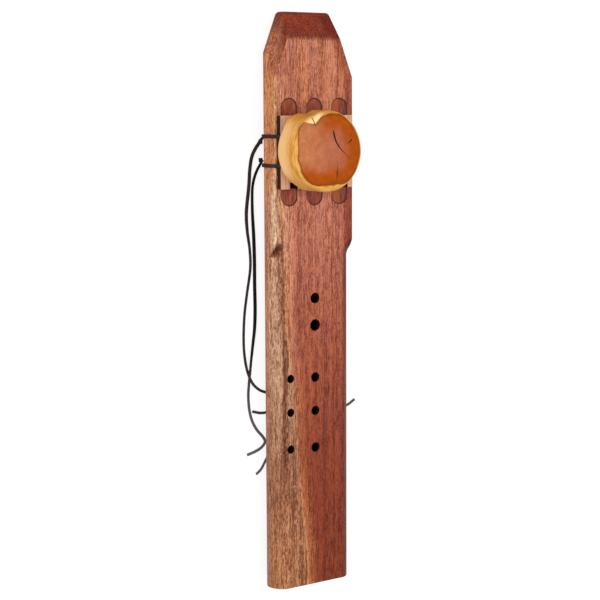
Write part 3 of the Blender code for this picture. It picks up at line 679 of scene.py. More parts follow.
KNOB_CHECKS = (
    (((-0.0206, 0.0360), (-0.0206, 0.0335), (-0.0203, 0.0305), (-0.0194, 0.0265), (-0.0178, 0.0222)),
     0.0010, 0.0041, 0.7),
    (((0.0021, 0.0215), (0.0023, 0.0188), (0.0027, 0.0160), (0.0043, 0.0108), (0.0064, 0.0070),
      (0.0090, 0.0036), (0.0122, 0.0007), (0.0155, -0.0020), (0.0205, -0.0062), (0.0240, -0.0090)),
     0.0020, 0.0037, 0.42),
    (((0.0176, 0.0056), (0.0196, 0.0071), (0.0215, 0.0086), (0.0240, 0.0106), (0.0266, 0.0124)),
     0.0012, 0.0037, 1.8),
    (((0.0061, -0.0090), (0.0065, -0.0130), (0.0068, -0.0170), (0.0068, -0.0205), (0.0067, -0.0235),
      (0.0069, -0.0270), (0.0072, -0.0330)),
     0.0010, 0.0035, 1.4),
)

# A check's ends are at least this share of its full width
CHECK_TIP_SHARE = 0.10

# Steps in which the knob's wall is drawn, so that it has corners to press the hollows into
KNOB_WALL_STEPS = 8


def check_cutter(places, width, depth, skew):
    """A thin blade along a drying check, fine at both ends; skew moves its widest place."""
    line = [Vector((x, y, 0)) for x, y in places]
    count = len(line) - 1
    left, right = [], []
    for index, place in enumerate(line):
        along = (line[min(index + 1, count)] - line[max(index - 1, 0)]).normalized()
        across = Vector((-along.y, along.x, 0))
        swell = math.sin(math.pi * (index / count) ** skew)
        half = across * width / 2 * max(swell, CHECK_TIP_SHARE)
        left.append(place + half)
        right.append(place - half)
    centre = at(KNOB_X, KNOB_Y, KNOB_Z + KNOB_HEIGHT - depth)
    outline = [centre + place for place in left + right[::-1]]
    blade = drawn_line("check", outline)
    bpy.ops.mesh.edge_face_add()
    bpy.ops.mesh.extrude_region_move(TRANSFORM_OT_translate={"value": (0, 0, CUT_MARGIN)})
    close_up()
    return blade


def press_in(piece, place, push, reach):
    """Presses a smooth hollow into a piece, or draws a swell out of it, about the nearest corner."""
    take(piece)
    begin_edit()
    nearest = min(piece.data.vertices, key=lambda vert: (vert.co - place).length).co.copy()
    pick("verts", lambda vert: (vert.co - nearest).length < FIT_GAP / 2)
    bpy.ops.transform.translate(value=push, use_proportional_edit=True, proportional_size=reach,
                                proportional_edit_falloff="SMOOTH")
    end_edit()


def make_knob(wood, check_wood):
    """The slice of branch: sides and edges sanded round, face gently domed, drying checks left open."""
    base = at(KNOB_X, KNOB_Y, KNOB_Z)
    rim = KNOB_RADIUS - KNOB_EDGE_RADIUS
    dome_radius = (rim ** 2 + KNOB_DOME ** 2) / (2 * KNOB_DOME)
    dome_centre = base + Vector((0, 0, KNOB_HEIGHT + KNOB_DOME - dome_radius))
    dome_angle = math.asin(rim / dome_radius)
    shoulder = base + Vector((rim, 0, KNOB_HEIGHT - KNOB_EDGE_RADIUS))
    foot = base + Vector((rim, 0, KNOB_EDGE_RADIUS))
    dome = arc(dome_centre, dome_radius, math.pi / 2, math.pi / 2 - dome_angle, steps=30)
    upper = arc(shoulder, KNOB_EDGE_RADIUS, math.pi / 2 - dome_angle, 0, steps=14)
    out = Vector((KNOB_EDGE_RADIUS, 0, 0))
    wall = [(shoulder + out).lerp(foot + out, step / KNOB_WALL_STEPS) for step in range(1, KNOB_WALL_STEPS)]
    lower = arc(foot, KNOB_EDGE_RADIUS, 0, -math.pi / 2, steps=10)
    knob = turned("turned_branch_knob", dome + upper[1:] + wall + lower + [base], base, steps=192)
    finish_with(knob, wood)
    for push, reach, x, y, z in KNOB_HOLLOWS:
        press_in(knob, at(KNOB_X + x, KNOB_Y + y, KNOB_Z + z), push, reach)
    socket = drill("socket", base - Vector((0, 0, CUT_MARGIN)), base + Vector((0, 0, PEG_DEPTH + FIT_GAP)),
                   PEG_RADIUS + FIT_GAP)
    checks = [check_cutter(*check) for check in KNOB_CHECKS]
    cut(knob, socket, *[finish_with(check, check_wood) for check in checks])
    drop(socket, *checks)
    smooth(knob)
    dress(knob, "block", "knob_wood", "knob")


# Materials

def colour(code):
    """An sRGB hex colour as the linear colour that shaders take."""
    parts = [int(code[index:index + 2], 16) / 255 for index in (1, 3, 5)]
    return (*[part / 12.92 if part <= 0.04045 else ((part + 0.055) / 1.055) ** 2.4 for part in parts], 1.0)


def new_material(name, roughness, specular=0.5):
    """A new material with its constants set; wood, leather and paper all have an IOR of about 1.5."""
    material = bpy.data.materials.new(name)
    material.use_nodes = True
    shader = material.node_tree.nodes["Principled BSDF"]
    shader.inputs["Roughness"].default_value = roughness
    shader.inputs["IOR"].default_value = 1.5
    shader.inputs["Specular IOR Level"].default_value = specular
    return material, material.node_tree, shader


def add(tree, kind, inputs, output=None, **settings):
    """Adds a node with its settings and inputs, and gives its first output in use, or the one named.

    Inputs are a list, in the order of those that the settings leave in use, or a dictionary by name.
    Each is a value to set or another node's output to link.
    """
    node = tree.nodes.new("ShaderNode" + kind)
    for name, value in settings.items():
        setattr(node, name, value)
    if isinstance(inputs, dict):
        pairs = [(node.inputs[name], value) for name, value in inputs.items()]
    else:
        pairs = zip([socket for socket in node.inputs if socket.enabled], inputs)
    for socket, value in pairs:
        if isinstance(value, bpy.types.NodeSocket):
            tree.links.new(value, socket)
        else:
            socket.default_value = value
    return node.outputs[output] if output else next(socket for socket in node.outputs if socket.enabled)


def set_ramp(ramp, stops):
    """Gives a colour ramp its stops, each a place from 0 to 1 and a hex colour."""
    elements = ramp.node.color_ramp.elements
    elements[0].position, elements[1].position = stops[0][0], stops[-1][0]
    elements[0].color, elements[1].color = colour(stops[0][1]), colour(stops[-1][1])
    for place, code in stops[1:-1]:
        elements.new(place).color = colour(code)
    return ramp


def set_curve(curve, places):
    """Draws a float curve through places that both run from 0 to 1."""
    mapping = curve.node.mapping
    points = mapping.curves[0].points
    for x, y in places[1:-1]:
        points.new(x, y)
    points[0].location = places[0]
    points[len(points) - 1].location = places[-1]
    mapping.update()
    return curve


def link_finish(tree, shader, tone, relief, strength, depth):
    """Gives the shader its colour, and a relief of so many metres as a bump."""
    tree.links.new(tone, shader.inputs["Base Color"])
    bump = add(tree, "Bump", {"Height": relief, "Strength": strength, "Distance": depth})
    tree.links.new(bump, shader.inputs["Normal"])


def streaks(tree, place, scale, detail, roughness=0.5, output=None):
    """Noise drawn out along the grain; scale is about how many streaks there are per metre each way."""
    stretched = add(tree, "Mapping", {"Vector": place, "Scale": scale})
    inputs = {"Vector": stretched, "Scale": 1.0, "Detail": detail, "Roughness": roughness}
    return add(tree, "TexNoise", inputs, output)


def drifting(tree, start, place, scale, detail, swing):
    """Places shifted smoothly to and fro across the grain, from the start, by half the swing each way."""
    shift = streaks(tree, place, scale, detail, output="Color")
    shift = add(tree, "VectorMath", [shift, (0.5, 0.5, 0.5)], operation="SUBTRACT")
    shift = add(tree, "VectorMath", [shift, (swing, 0.0, swing)], operation="MULTIPLY")
    return add(tree, "VectorMath", [start, shift], operation="ADD")


def from_centre(*places):
    return [CENTRE_X + x for x in places]


def from_foot(*places):
    return [FOOT_Y + y for y in places]


def fade(tree, strength, y, *ends):
    """Fades a mark along the flute; each of its ends is where it is gone and where it is full."""
    for gone, full in ends:
        share = add(tree, "MapRange", [y, *from_foot(gone, full)])
        strength = add(tree, "Math", [strength, share], operation="MULTIPLY")
    return strength


# Left edge of the red heartwood on the front face, y and x, how far to the left it may lie, and how
# far it shifts to the right per metre down into the board
SAPWOOD_EDGE = (
    (0.000, -0.0118), (0.028, -0.0116), (0.062, -0.0154), (0.095, -0.0190), (0.134, -0.0227),
    (0.172, -0.0250), (0.205, -0.0278), (0.243, -0.0321), (0.280, -0.0369), (0.354, -0.0401),
    (0.417, -0.0421), (0.440, -0.0440), (0.470, -0.0486), (0.540, -0.0488), (0.556, -0.0800),
    (0.610, -0.0800),
)
SAPWOOD_SPAN = 0.0800
SAPWOOD_LEAN = 0.669

# Tones along the boards, as shares of their length from the foot. Their lightening towards the mouth end is
# partly the wood's own tone and partly painted light
HEART_TONES = ((0.0, "#80341D"), (0.15, "#7F321B"), (0.245, "#81361F"), (0.35, "#8E4129"),
               (0.455, "#9A4B33"), (0.56, "#A95B41"), (0.67, "#B0644A"), (0.87, "#AE6446"), (1.0, "#B86D4E"))
# Darker tones of the painted shade along the right round-over and facet edge
RIGHT_SHADE_TONES = ((0.0, "#7C2D18"), (0.30, "#8E3A22"), (0.55, "#7C240A"), (0.75, "#883A20"), (1.0, "#96492E"))
RUST_TONES = ((0.0, "#AE6238"), (0.15, "#A25530"), (0.25, "#944A2A"), (0.35, "#A65A3A"), (0.45, "#B06746"),
              (0.65, "#C47E5E"), (1.0, "#C07452"))
SAP_TONES = ((0.0, "#B47850"), (0.10, "#B87C58"), (0.15, "#A66C4E"), (0.22, "#A67052"), (0.30, "#B9896A"),
             (0.45, "#C89A7C"), (0.55, "#CC9A7C"), (0.66, "#D09C78"), (0.76, "#DC945F"), (0.90, "#D48A58"),
             (0.95, "#A8603F"), (1.0, "#A05838"))
BACK_TONES = ((0.0, "#A86A4C"), (0.15, "#A86E50"), (0.50, "#BE7852"), (0.70, "#CC7E53"), (0.90, "#C87C54"),
              (1.0, "#AA623F"))

# Darkening where wood is cut across the grain: 0 is a face along the flute, and 1 one straight across it
OILED_TONES = ((0.12, "#FFFFFF"), (0.34, "#AC8A80"), (0.52, "#B8796A"), (1.0, "#8A5A4C"))

# Marks in the sapwood: where each fades in and out, where it bends, and its x at either side of the bend
# The cream streak narrows towards the mouth end into a painted highlight along the face's left edge.
STREAK_ENDS = ((0.3615, 0.3640), (0.5500, 0.5350))
STREAK_BEND = (0.4200, 0.4550)
STREAK_X = (-0.0512, -0.0489)
STREAK_HALF_WIDTH = (0.0028, 0.0011)
STREAK_STRENGTH = (0.90, 0.55)
BROWN_LINE_ENDS = ((0.0900, 0.1400), (0.3700, 0.3610))
BROWN_LINE_BEND = (0.3050, 0.2450)
BROWN_LINE_X = (-0.0404, -0.0383)
SCAR_CORNER = (-0.0545, 0.3616)
SCAR_WIDTH = 0.0122
SCAR_LENGTH = 0.0112
SCAR_SIDE_SLOPE = 1.15
SCAR_FOOT_SLOPE = 0.25
SCAR_FOOT_DROP = 0.0022
SCAR_RAGGEDNESS = 0.0040


def pores_and_rays(tree, grain):
    """Short dark pores and pale rays, in broad bands that lean to pink or to orange.

    Gives the dashes, from 0 in a pore to 1 in a ray, and the shade that they lay over a colour. They are
    about 1 by 14 mm, a little coarser than real so that they show.
    """
    broad = streaks(tree, grain, (190, 5, 190), 3.0, 0.6).node.outputs
    tint = add(tree, "MapRange", [broad["Fac"], 0.38, 0.62])
    tint = add(tree, "Mix", [tint, (0.94, 0.97, 1.16, 1), (1.08, 1.04, 0.84, 1)], data_type="RGBA")
    band = add(tree, "SeparateXYZ", [broad["Color"]], output="Z")
    band = add(tree, "MapRange", [band, 0.35, 0.65, -0.25, 0.25])
    dash = streaks(tree, grain, (950, 70, 950), 2.0, 0.7)
    fleck = streaks(tree, grain, (1000, 330, 1000), 1.0)
    dash = add(tree, "Mix", [0.35, dash, fleck], data_type="FLOAT")
    dash = add(tree, "MapRange", [dash, 0.40, 0.60])
    light = add(tree, "Math", [dash, band], operation="ADD", use_clamp=True)
    shade = add(tree, "Mix", [light, (0.50, 0.36, 0.34, 1), (1.48, 1.76, 1.90, 1)], data_type="RGBA")
    return dash, add(tree, "Mix", [1.0, shade, tint], data_type="RGBA", blend_type="MULTIPLY")


def heartwood_tone(tree, x, y, along, inside):
    """Red heartwood, rust beside the sapwood, painted shade along the right round-over and facet edge, and a
    honey line at its edge.
    """
    heart = set_ramp(add(tree, "ValToRGB", [along]), HEART_TONES)
    rust = add(tree, "MapRange", [inside, -0.018, -0.003], interpolation_type="SMOOTHSTEP")
    rusty = set_ramp(add(tree, "ValToRGB", [along]), RUST_TONES)
    heart = add(tree, "Mix", [rust, heart, rusty], data_type="RGBA")
    # Painted shade along the right round-over, following the facet edge towards the mouth end
    squared = add(tree, "Math", [y, FOOT_Y + BODY_LENGTH - FACET_LENGTH], operation="SUBTRACT")
    squared = add(tree, "Math", [squared, 0.0], operation="MAXIMUM")
    squared = add(tree, "Math", [squared, FACET_TAPER], operation="MULTIPLY")
    squared = add(tree, "Math", [squared, x], operation="ADD")
    right = add(tree, "MapRange", [squared, 0.0340, 0.0460, 0.0, 0.95], interpolation_type="SMOOTHSTEP")
    dark = set_ramp(add(tree, "ValToRGB", [along]), RIGHT_SHADE_TONES)
    heart = add(tree, "Mix", [right, heart, dark], data_type="RGBA")
    honey = add(tree, "MapRange", [inside, -0.0034, -0.0012, 0.0, 0.5])
    return add(tree, "Mix", [honey, heart, colour("#C48A5C")], data_type="RGBA")


def with_cream_streak_and_edge_highlight(tree, tone, y, across):
    """A cream streak in the sapwood that stops at the scar; towards the mouth end it narrows into a painted
    highlight along the face's left edge.
    """
    bend = from_foot(*STREAK_BEND)
    middle = add(tree, "MapRange", [y, *bend, *from_centre(*STREAK_X)])
    half = add(tree, "MapRange", [y, *bend, *STREAK_HALF_WIDTH])
    strength = add(tree, "MapRange", [y, *bend, *STREAK_STRENGTH])
    off = add(tree, "Math", [across, middle], operation="SUBTRACT")
    off = add(tree, "Math", [off], operation="ABSOLUTE")
    off = add(tree, "Math", [off, half], operation="DIVIDE")
    cream = fade(tree, add(tree, "MapRange", [off, 0.6, 1.3, strength, 0.0]), y, *STREAK_ENDS)
    return add(tree, "Mix", [cream, tone, colour("#F0C8A2")], data_type="RGBA")


def sapwood_tone(tree, y, along, inside, across, wavy, dash):
    """Pale sapwood with long dark wavy lines, browner towards the heartwood, and the cream streak with its
    painted edge highlight.
    """
    plain = add(tree, "MapRange", [y, *from_foot(0.3350, 0.4350), 1.0, 0.35])
    near = add(tree, "MapRange", [inside, 0.002, 0.022, 1.0, 0.35])
    near = add(tree, "Math", [near, plain], operation="MULTIPLY")
    waves = streaks(tree, wavy, (330, 7, 330), 3.0, 0.6)
    waves = add(tree, "MapRange", [waves, 0.40, 0.60, -0.35, 0.65])
    waves = add(tree, "Math", [waves, near], operation="MULTIPLY")
    light = add(tree, "Math", [dash, waves], operation="SUBTRACT", use_clamp=True)
    shade = add(tree, "Mix", [light, (0.42, 0.30, 0.25, 1), (1.34, 1.42, 1.46, 1)], data_type="RGBA")
    pale = set_ramp(add(tree, "ValToRGB", [along]), SAP_TONES)
    brown = add(tree, "MapRange", [inside, 0.002, 0.015, 0.45, 0.0])
    brown = add(tree, "Math", [brown, plain], operation="MULTIPLY")
    pale = add(tree, "Mix", [brown, pale, colour("#96603F")], data_type="RGBA")
    pale = with_cream_streak_and_edge_highlight(tree, pale, y, across)
    return add(tree, "Mix", [1.0, pale, shade], data_type="RGBA", blend_type="MULTIPLY")


def with_brown_line(tree, tone, y, across):
    """A brown wavy line through the sapwood, from near the foot to the scar."""
    middle = add(tree, "MapRange", [y, *from_foot(*BROWN_LINE_BEND), *from_centre(*BROWN_LINE_X)])
    off = add(tree, "Math", [across, middle], operation="SUBTRACT")
    off = add(tree, "Math", [off], operation="ABSOLUTE")
    brown = fade(tree, add(tree, "MapRange", [off, 0.0012, 0.0056, 0.95, 0.0]), y, *BROWN_LINE_ENDS)
    return add(tree, "Mix", [brown, tone, colour("#BEA294")], data_type="RGBA", blend_type="MULTIPLY")


def with_twig_scar(tree, tone, place, y, across):
    """A dark three-cornered scar with a ragged edge, where a twig once left the sapwood."""
    right = add(tree, "Math", [across, CENTRE_X + SCAR_CORNER[0]], operation="SUBTRACT")
    up = add(tree, "Math", [y, FOOT_Y + SCAR_CORNER[1]], operation="SUBTRACT")
    side = add(tree, "Math", [right, SCAR_SIDE_SLOPE], operation="MULTIPLY")
    scar = add(tree, "Math", [side, up], operation="SUBTRACT")
    foot = add(tree, "Math", [right, SCAR_FOOT_SLOPE], operation="MULTIPLY")
    foot = add(tree, "Math", [up, foot], operation="SUBTRACT")
    foot = add(tree, "Math", [foot, SCAR_FOOT_DROP], operation="ADD")
    foot = add(tree, "Math", [foot, 0.5], operation="MULTIPLY")
    top = add(tree, "Math", [SCAR_LENGTH, up], operation="SUBTRACT")
    end = add(tree, "Math", [SCAR_WIDTH, right], operation="SUBTRACT")
    for edge in (foot, top, end):
        scar = add(tree, "Math", [scar, edge], operation="MINIMUM")
    ragged = add(tree, "TexNoise", {"Vector": place, "Scale": 620.0, "Detail": 2.0})
    ragged = add(tree, "MapRange", [ragged, 0.0, 1.0, -SCAR_RAGGEDNESS, SCAR_RAGGEDNESS])
    scar = add(tree, "Math", [scar, ragged], operation="ADD")
    scar = add(tree, "MapRange", [scar, -0.0008, 0.0014, 0.0, 0.88])
    return add(tree, "Mix", [scar, tone, colour("#572C12")], data_type="RGBA")


def layer_x(tree, place, shift):
    """Where the leaning layer of wood at a place comes out on the face."""
    return add(tree, "Math", [add(tree, "SeparateXYZ", [place]), shift], operation="SUBTRACT")


def front_tone(tree, place, grain, along, dash, shade):
    """Colour of the front board: heartwood, and wavy sapwood with its marks at the left."""
    x, y, z = add(tree, "SeparateXYZ", [place]).node.outputs
    wavy = drifting(tree, grain, place, (70, 150, 70), 1.0, 0.0050)
    steady = add(tree, "Mix", [0.25, grain, wavy], data_type="VECTOR")
    shift = add(tree, "Math", [FACE_Z, z], operation="SUBTRACT")
    shift = add(tree, "Math", [shift, SAPWOOD_LEAN], operation="MULTIPLY")
    across = layer_x(tree, steady, shift)
    edge = set_curve(add(tree, "FloatCurve", {"Value": along}),
                     [(edge_y / BODY_LENGTH, 1 + edge_x / SAPWOOD_SPAN) for edge_y, edge_x in SAPWOOD_EDGE])
    edge = add(tree, "MapRange", [edge, 0.0, 1.0, CENTRE_X - SAPWOOD_SPAN, CENTRE_X])
    inside = add(tree, "Math", [edge, across], operation="SUBTRACT")

    heart = heartwood_tone(tree, x, y, along, inside)
    heart = add(tree, "Mix", [1.0, heart, shade], data_type="RGBA", blend_type="MULTIPLY")
    pale = sapwood_tone(tree, y, along, inside, across, wavy, dash)
    pale = with_brown_line(tree, pale, y, layer_x(tree, wavy, shift))
    in_sapwood = add(tree, "MapRange", [inside, -0.0008, 0.0008], interpolation_type="SMOOTHSTEP")
    tone = add(tree, "Mix", [in_sapwood, heart, pale], data_type="RGBA")
    return with_twig_scar(tree, tone, place, y, across)


def darkened_by_oil_and_painted_shade(tree, tone):
    """Wood cut across the grain drinks more oil and darkens; the faces that look down and the rounds that
    look to the right get painted shade.
    """
    facing = add(tree, "NewGeometry", [], output="Normal")
    x, y, z = add(tree, "SeparateXYZ", [facing]).node.outputs
    lean = add(tree, "Math", [y], operation="ABSOLUTE")
    oiled = set_ramp(add(tree, "ValToRGB", [lean]), OILED_TONES)
    tone = add(tree, "Mix", [1.0, tone, oiled], data_type="RGBA", blend_type="MULTIPLY")
    # Painted shade: faces that look down, and those that look to the right, are darkened.
    under = add(tree, "MapRange", [z, -0.55, -0.05, 0.5, 1.0])
    right = add(tree, "MapRange", [x, 0.10, 0.65, 1.0, 0.45])
    rounds = add(tree, "Math", [under, right], operation="MULTIPLY")
    return add(tree, "Mix", [1.0, tone, rounds], data_type="RGBA", blend_type="MULTIPLY")


def body_wood(name, front):
    """Oiled red-brown hardwood, planed and sanded: satin, with its grain along the flute.

    The back board is cut from another place in the same plank, and has no sapwood.
    """
    material, tree, shader = new_material(name, roughness=0.45, specular=0.12)
    place = add(tree, "TexCoord", [], output="Object")
    along = add(tree, "SeparateXYZ", [place], output="Y")
    along = add(tree, "MapRange", [along, FOOT_Y, FOOT_Y + BODY_LENGTH])
    grain = drifting(tree, place, place, (28, 8, 28), 2.0, 0.006)
    other_cut = (0.0, 0.0, 0.0) if front else (0.31, 0.17, 0.23)
    grain = add(tree, "VectorMath", [grain, other_cut], operation="ADD")
    dash, shade = pores_and_rays(tree, grain)
    if front:
        tone = front_tone(tree, place, grain, along, dash, shade)
    else:
        tone = set_ramp(add(tree, "ValToRGB", [along]), BACK_TONES)
        tone = add(tree, "Mix", [1.0, tone, shade], data_type="RGBA", blend_type="MULTIPLY")
    link_finish(tree, shader, darkened_by_oil_and_painted_shade(tree, tone), dash, strength=0.2, depth=0.0003)
    return material


def inlay_wood(name, x, dark, light, stripe=None):
    """Dark maroon hardwood, oiled and sanded flush, with painted shade of its fitting gap round its edge.

    x is the strip's centre line. A stripe, given by its two edges, is where the strip is more orange.
    """
    material, tree, shader = new_material(name, roughness=0.45, specular=0.12)
    place = add(tree, "TexCoord", [], output="Object")
    place_x, place_y, _ = add(tree, "SeparateXYZ", [place]).node.outputs
    dash = streaks(tree, place, (880, 100, 880), 3.0, 0.6)
    dash = add(tree, "MapRange", [dash, 0.34, 0.66])
    tone = add(tree, "Mix", [dash, colour(dark), colour(light)], data_type="RGBA")
    if stripe:
        orange = add(tree, "MapRange", [place_x, *from_centre(*stripe), 0.0, 0.6],
                     interpolation_type="SMOOTHSTEP")
        tone = add(tree, "Mix", [orange, tone, colour("#B4562C")], data_type="RGBA")
    # Painted shade of the fitting gap round the strip, shifted left so that it is heavier at the right.
    radius = INLAY_WIDTH / 2
    low, high = from_foot(INLAY_Y + radius, INLAY_Y + INLAY_LENGTH - radius)
    over = add(tree, "Math", [place_y, add(tree, "Clamp", [place_y, low, high])], operation="SUBTRACT")
    side = add(tree, "Math", [place_x, CENTRE_X + x - GAP_SHADE_SHIFT], operation="SUBTRACT")
    rim = add(tree, "CombineXYZ", [side, over, 0.0])
    rim = add(tree, "VectorMath", [rim], operation="LENGTH")
    rim = add(tree, "MapRange", [rim, radius - 0.0015, radius - 0.0004, 0.0, 0.9])
    tone = add(tree, "Mix", [rim, tone, colour("#2A0D08")], data_type="RGBA")
    link_finish(tree, shader, tone, dash, strength=0.2, depth=0.0003)
    return material


def lined_wood(name, dark, light, across, along):
    """Sanded close-grained wood: fine lines along the flute, across and along counted per metre."""
    material, tree, shader = new_material(name, roughness=0.5, specular=0.1)
    place = add(tree, "TexCoord", [], output="Object")
    lines = streaks(tree, place, (across, along, across), 4.0, 0.6)
    mix = add(tree, "MapRange", [lines, 0.35, 0.65])
    tone = add(tree, "Mix", [mix, colour(dark), colour(light)], data_type="RGBA")
    link_finish(tree, shader, tone, lines, strength=0.15, depth=0.0002)
    return material


def bare_wood(name, dark, light):
    """Dull, dark and a little uneven wood without oil: painted shade on the walls of holes, and the walls of
    the knob's checks.
    """
    material, tree, shader = new_material(name, roughness=0.85, specular=0.1)
    place = add(tree, "TexCoord", [], output="Object")
    patches = add(tree, "TexNoise", {"Vector": place, "Scale": 500.0, "Detail": 3.0})
    tone = add(tree, "Mix", [patches, colour(dark), colour(light)], data_type="RGBA")
    tree.links.new(tone, shader.inputs["Base Color"])
    return material


# Edge of the knob's heartwood: angle in degrees, and how far it is from the middle over the face and its
# edge, at the most HEARTWOOD_SPAN
HEARTWOOD_EDGE = (
    (0, 0.0372), (36, 0.0376), (52, 0.0395), (65, 0.0412), (78, 0.0401), (92, 0.0381), (103, 0.0372),
    (111, 0.0355), (118.5, 0.0336), (122.6, 0.0330), (126.7, 0.0341), (132, 0.0390), (137, 0.0470),
    (145, 0.0470), (157, 0.0436), (172, 0.0403), (181, 0.0394), (191, 0.0408), (202, 0.0403),
    (214, 0.0422), (224, 0.0424), (235, 0.0415), (247, 0.0386), (259, 0.0348), (278, 0.0339),
    (294, 0.0364), (308, 0.0394), (323, 0.0389), (335, 0.0371), (360, 0.0372),
)
HEARTWOOD_SPAN = 0.0600
PITH = (-0.0040, 0.0010, 0.0)
RING_SPACING = 0.0019

# Tones across the middle of the heartwood, from the knob's left to its right; lighter to the left, they hold
# the face's soft highlight as painted light
CORE_TONES_WITH_HIGHLIGHT = ((0.05, "#C67C50"), (0.30, "#C0724C"), (0.52, "#B66A4E"), (0.80, "#B25E38"))


def inside_heartwood(tree, flat, z, turned_by, wobble):
    """Distance inside the heartwood's edge, measured over the knob's face and on down its side."""
    below = add(tree, "Math", [0.0, z], operation="SUBTRACT")
    below = add(tree, "Math", [below, 0.0], operation="MAXIMUM")
    reach = add(tree, "VectorMath", [flat], operation="LENGTH")
    reach = add(tree, "Math", [reach, below], operation="ADD")
    reach = add(tree, "Math", [reach, wobble], operation="ADD")
    turn = add(tree, "Math", [turned_by, 2 * math.pi, 0.0], operation="WRAP")
    turn = add(tree, "Math", [turn, 2 * math.pi], operation="DIVIDE")
    edge = set_curve(add(tree, "FloatCurve", {"Value": turn}),
                     [(degrees / 360, distance / HEARTWOOD_SPAN) for degrees, distance in HEARTWOOD_EDGE])
    edge = add(tree, "Math", [edge, HEARTWOOD_SPAN], operation="MULTIPLY")
    return add(tree, "Math", [edge, reach], operation="SUBTRACT")


def growth_rings(tree, place, flat, wobble):
    """Fine rings round the pith, clear in places and faint in others."""
    faint = add(tree, "TexNoise", {"Vector": place, "Scale": 60.0})
    faint = add(tree, "MapRange", [faint, 0.35, 0.65, 0.1, 0.6])
    ring = add(tree, "VectorMath", [flat, PITH], operation="SUBTRACT")
    ring = add(tree, "VectorMath", [ring], operation="LENGTH")
    ring = add(tree, "Math", [ring, wobble], operation="ADD")
    ring = add(tree, "Math", [ring, 2 * math.pi / RING_SPACING], operation="MULTIPLY")
    ring = add(tree, "Math", [ring], operation="SINE")
    return add(tree, "MapRange", [ring, -0.2, 1.0, 0.0, faint])


def branch_heartwood(tree, place, x, y, inside, rings):
    """Rust heartwood with fine rings and a mottle, lighter to the left with a painted soft highlight, and
    deeper orange towards its rim, but not at the left.
    """
    core = add(tree, "MapRange", [x, -0.040, 0.040])
    core = set_ramp(add(tree, "ValToRGB", [core]), CORE_TONES_WITH_HIGHLIGHT)
    lobe = add(tree, "MapRange", [y, -0.006, -0.026], interpolation_type="SMOOTHSTEP")
    not_left = add(tree, "MapRange", [x, -0.024, 0.002], interpolation_type="SMOOTHSTEP")
    not_left = add(tree, "Math", [not_left, lobe], operation="MAXIMUM")
    rim = add(tree, "MapRange", [inside, 0.026, 0.009], interpolation_type="SMOOTHSTEP")
    rim = add(tree, "Math", [rim, not_left], operation="MULTIPLY")
    heart = add(tree, "Mix", [rim, core, colour("#B04E04")], data_type="RGBA")
    deep = add(tree, "MapRange", [inside, 0.005, 0.001, 0.0, 0.45])
    deep = add(tree, "Math", [deep, not_left], operation="MULTIPLY")
    heart = add(tree, "Mix", [deep, heart, colour("#7C3A0C")], data_type="RGBA")
    mottle = add(tree, "TexNoise", {"Vector": place, "Scale": 160.0, "Detail": 5.0, "Roughness": 0.6})
    mottle = add(tree, "MapRange", [mottle, 0.3, 0.7, 0.82, 1.18])
    heart = add(tree, "Mix", [1.0, heart, mottle], data_type="RGBA", blend_type="MULTIPLY")
    return add(tree, "Mix", [rings, heart, colour("#93481F")], data_type="RGBA")


def branch_sapwood(tree, x, y, z, layers):
    """Honey sapwood, deeper at the crown, with painted light: paler low down at the left and towards the
    foot.

    A painted highlight lies where it meets the face, at the left of the side that looks to the mouth end.
    """
    # Painted highlight low down at the left, where the left lamp falls.
    left = add(tree, "MapRange", [x, -0.028, -0.036])
    low = add(tree, "MapRange", [z, -0.013, -0.024])
    patchy = add(tree, "MapRange", [layers, 0.0, 1.0, 0.95, 0.55])
    low = add(tree, "Math", [low, patchy], operation="MULTIPLY")
    left = add(tree, "Math", [left, low], operation="MULTIPLY")
    # Painted light on the side that looks to the foot.
    painted_light_footward = add(tree, "MapRange", [y, -0.022, -0.030, 0.0, 0.35])
    crown = add(tree, "MapRange", [y, 0.026, 0.036, 0.0, 0.6])
    # Painted highlight where the side meets the face, at the left of the side that looks to the mouth end.
    on_face = add(tree, "MapRange", [z, -0.0060, -0.0020, 0.0, 0.9])
    mouthward = add(tree, "MapRange", [y, 0.018, 0.026])
    painted_highlight = add(tree, "Math", [on_face, mouthward], operation="MULTIPLY")
    painted_highlight = add(tree, "Math", [painted_highlight, add(tree, "MapRange", [x, -0.006, -0.013])], operation="MULTIPLY")
    sap = add(tree, "Mix", [layers, colour("#D08428"), colour("#FCC06C")], data_type="RGBA")
    for share, code in ((left, "#FFD092"), (painted_light_footward, "#F4B060"), (crown, "#D88A30"), (painted_highlight, "#FFE09C")):
        sap = add(tree, "Mix", [share, sap, colour(code)], data_type="RGBA")
    return sap


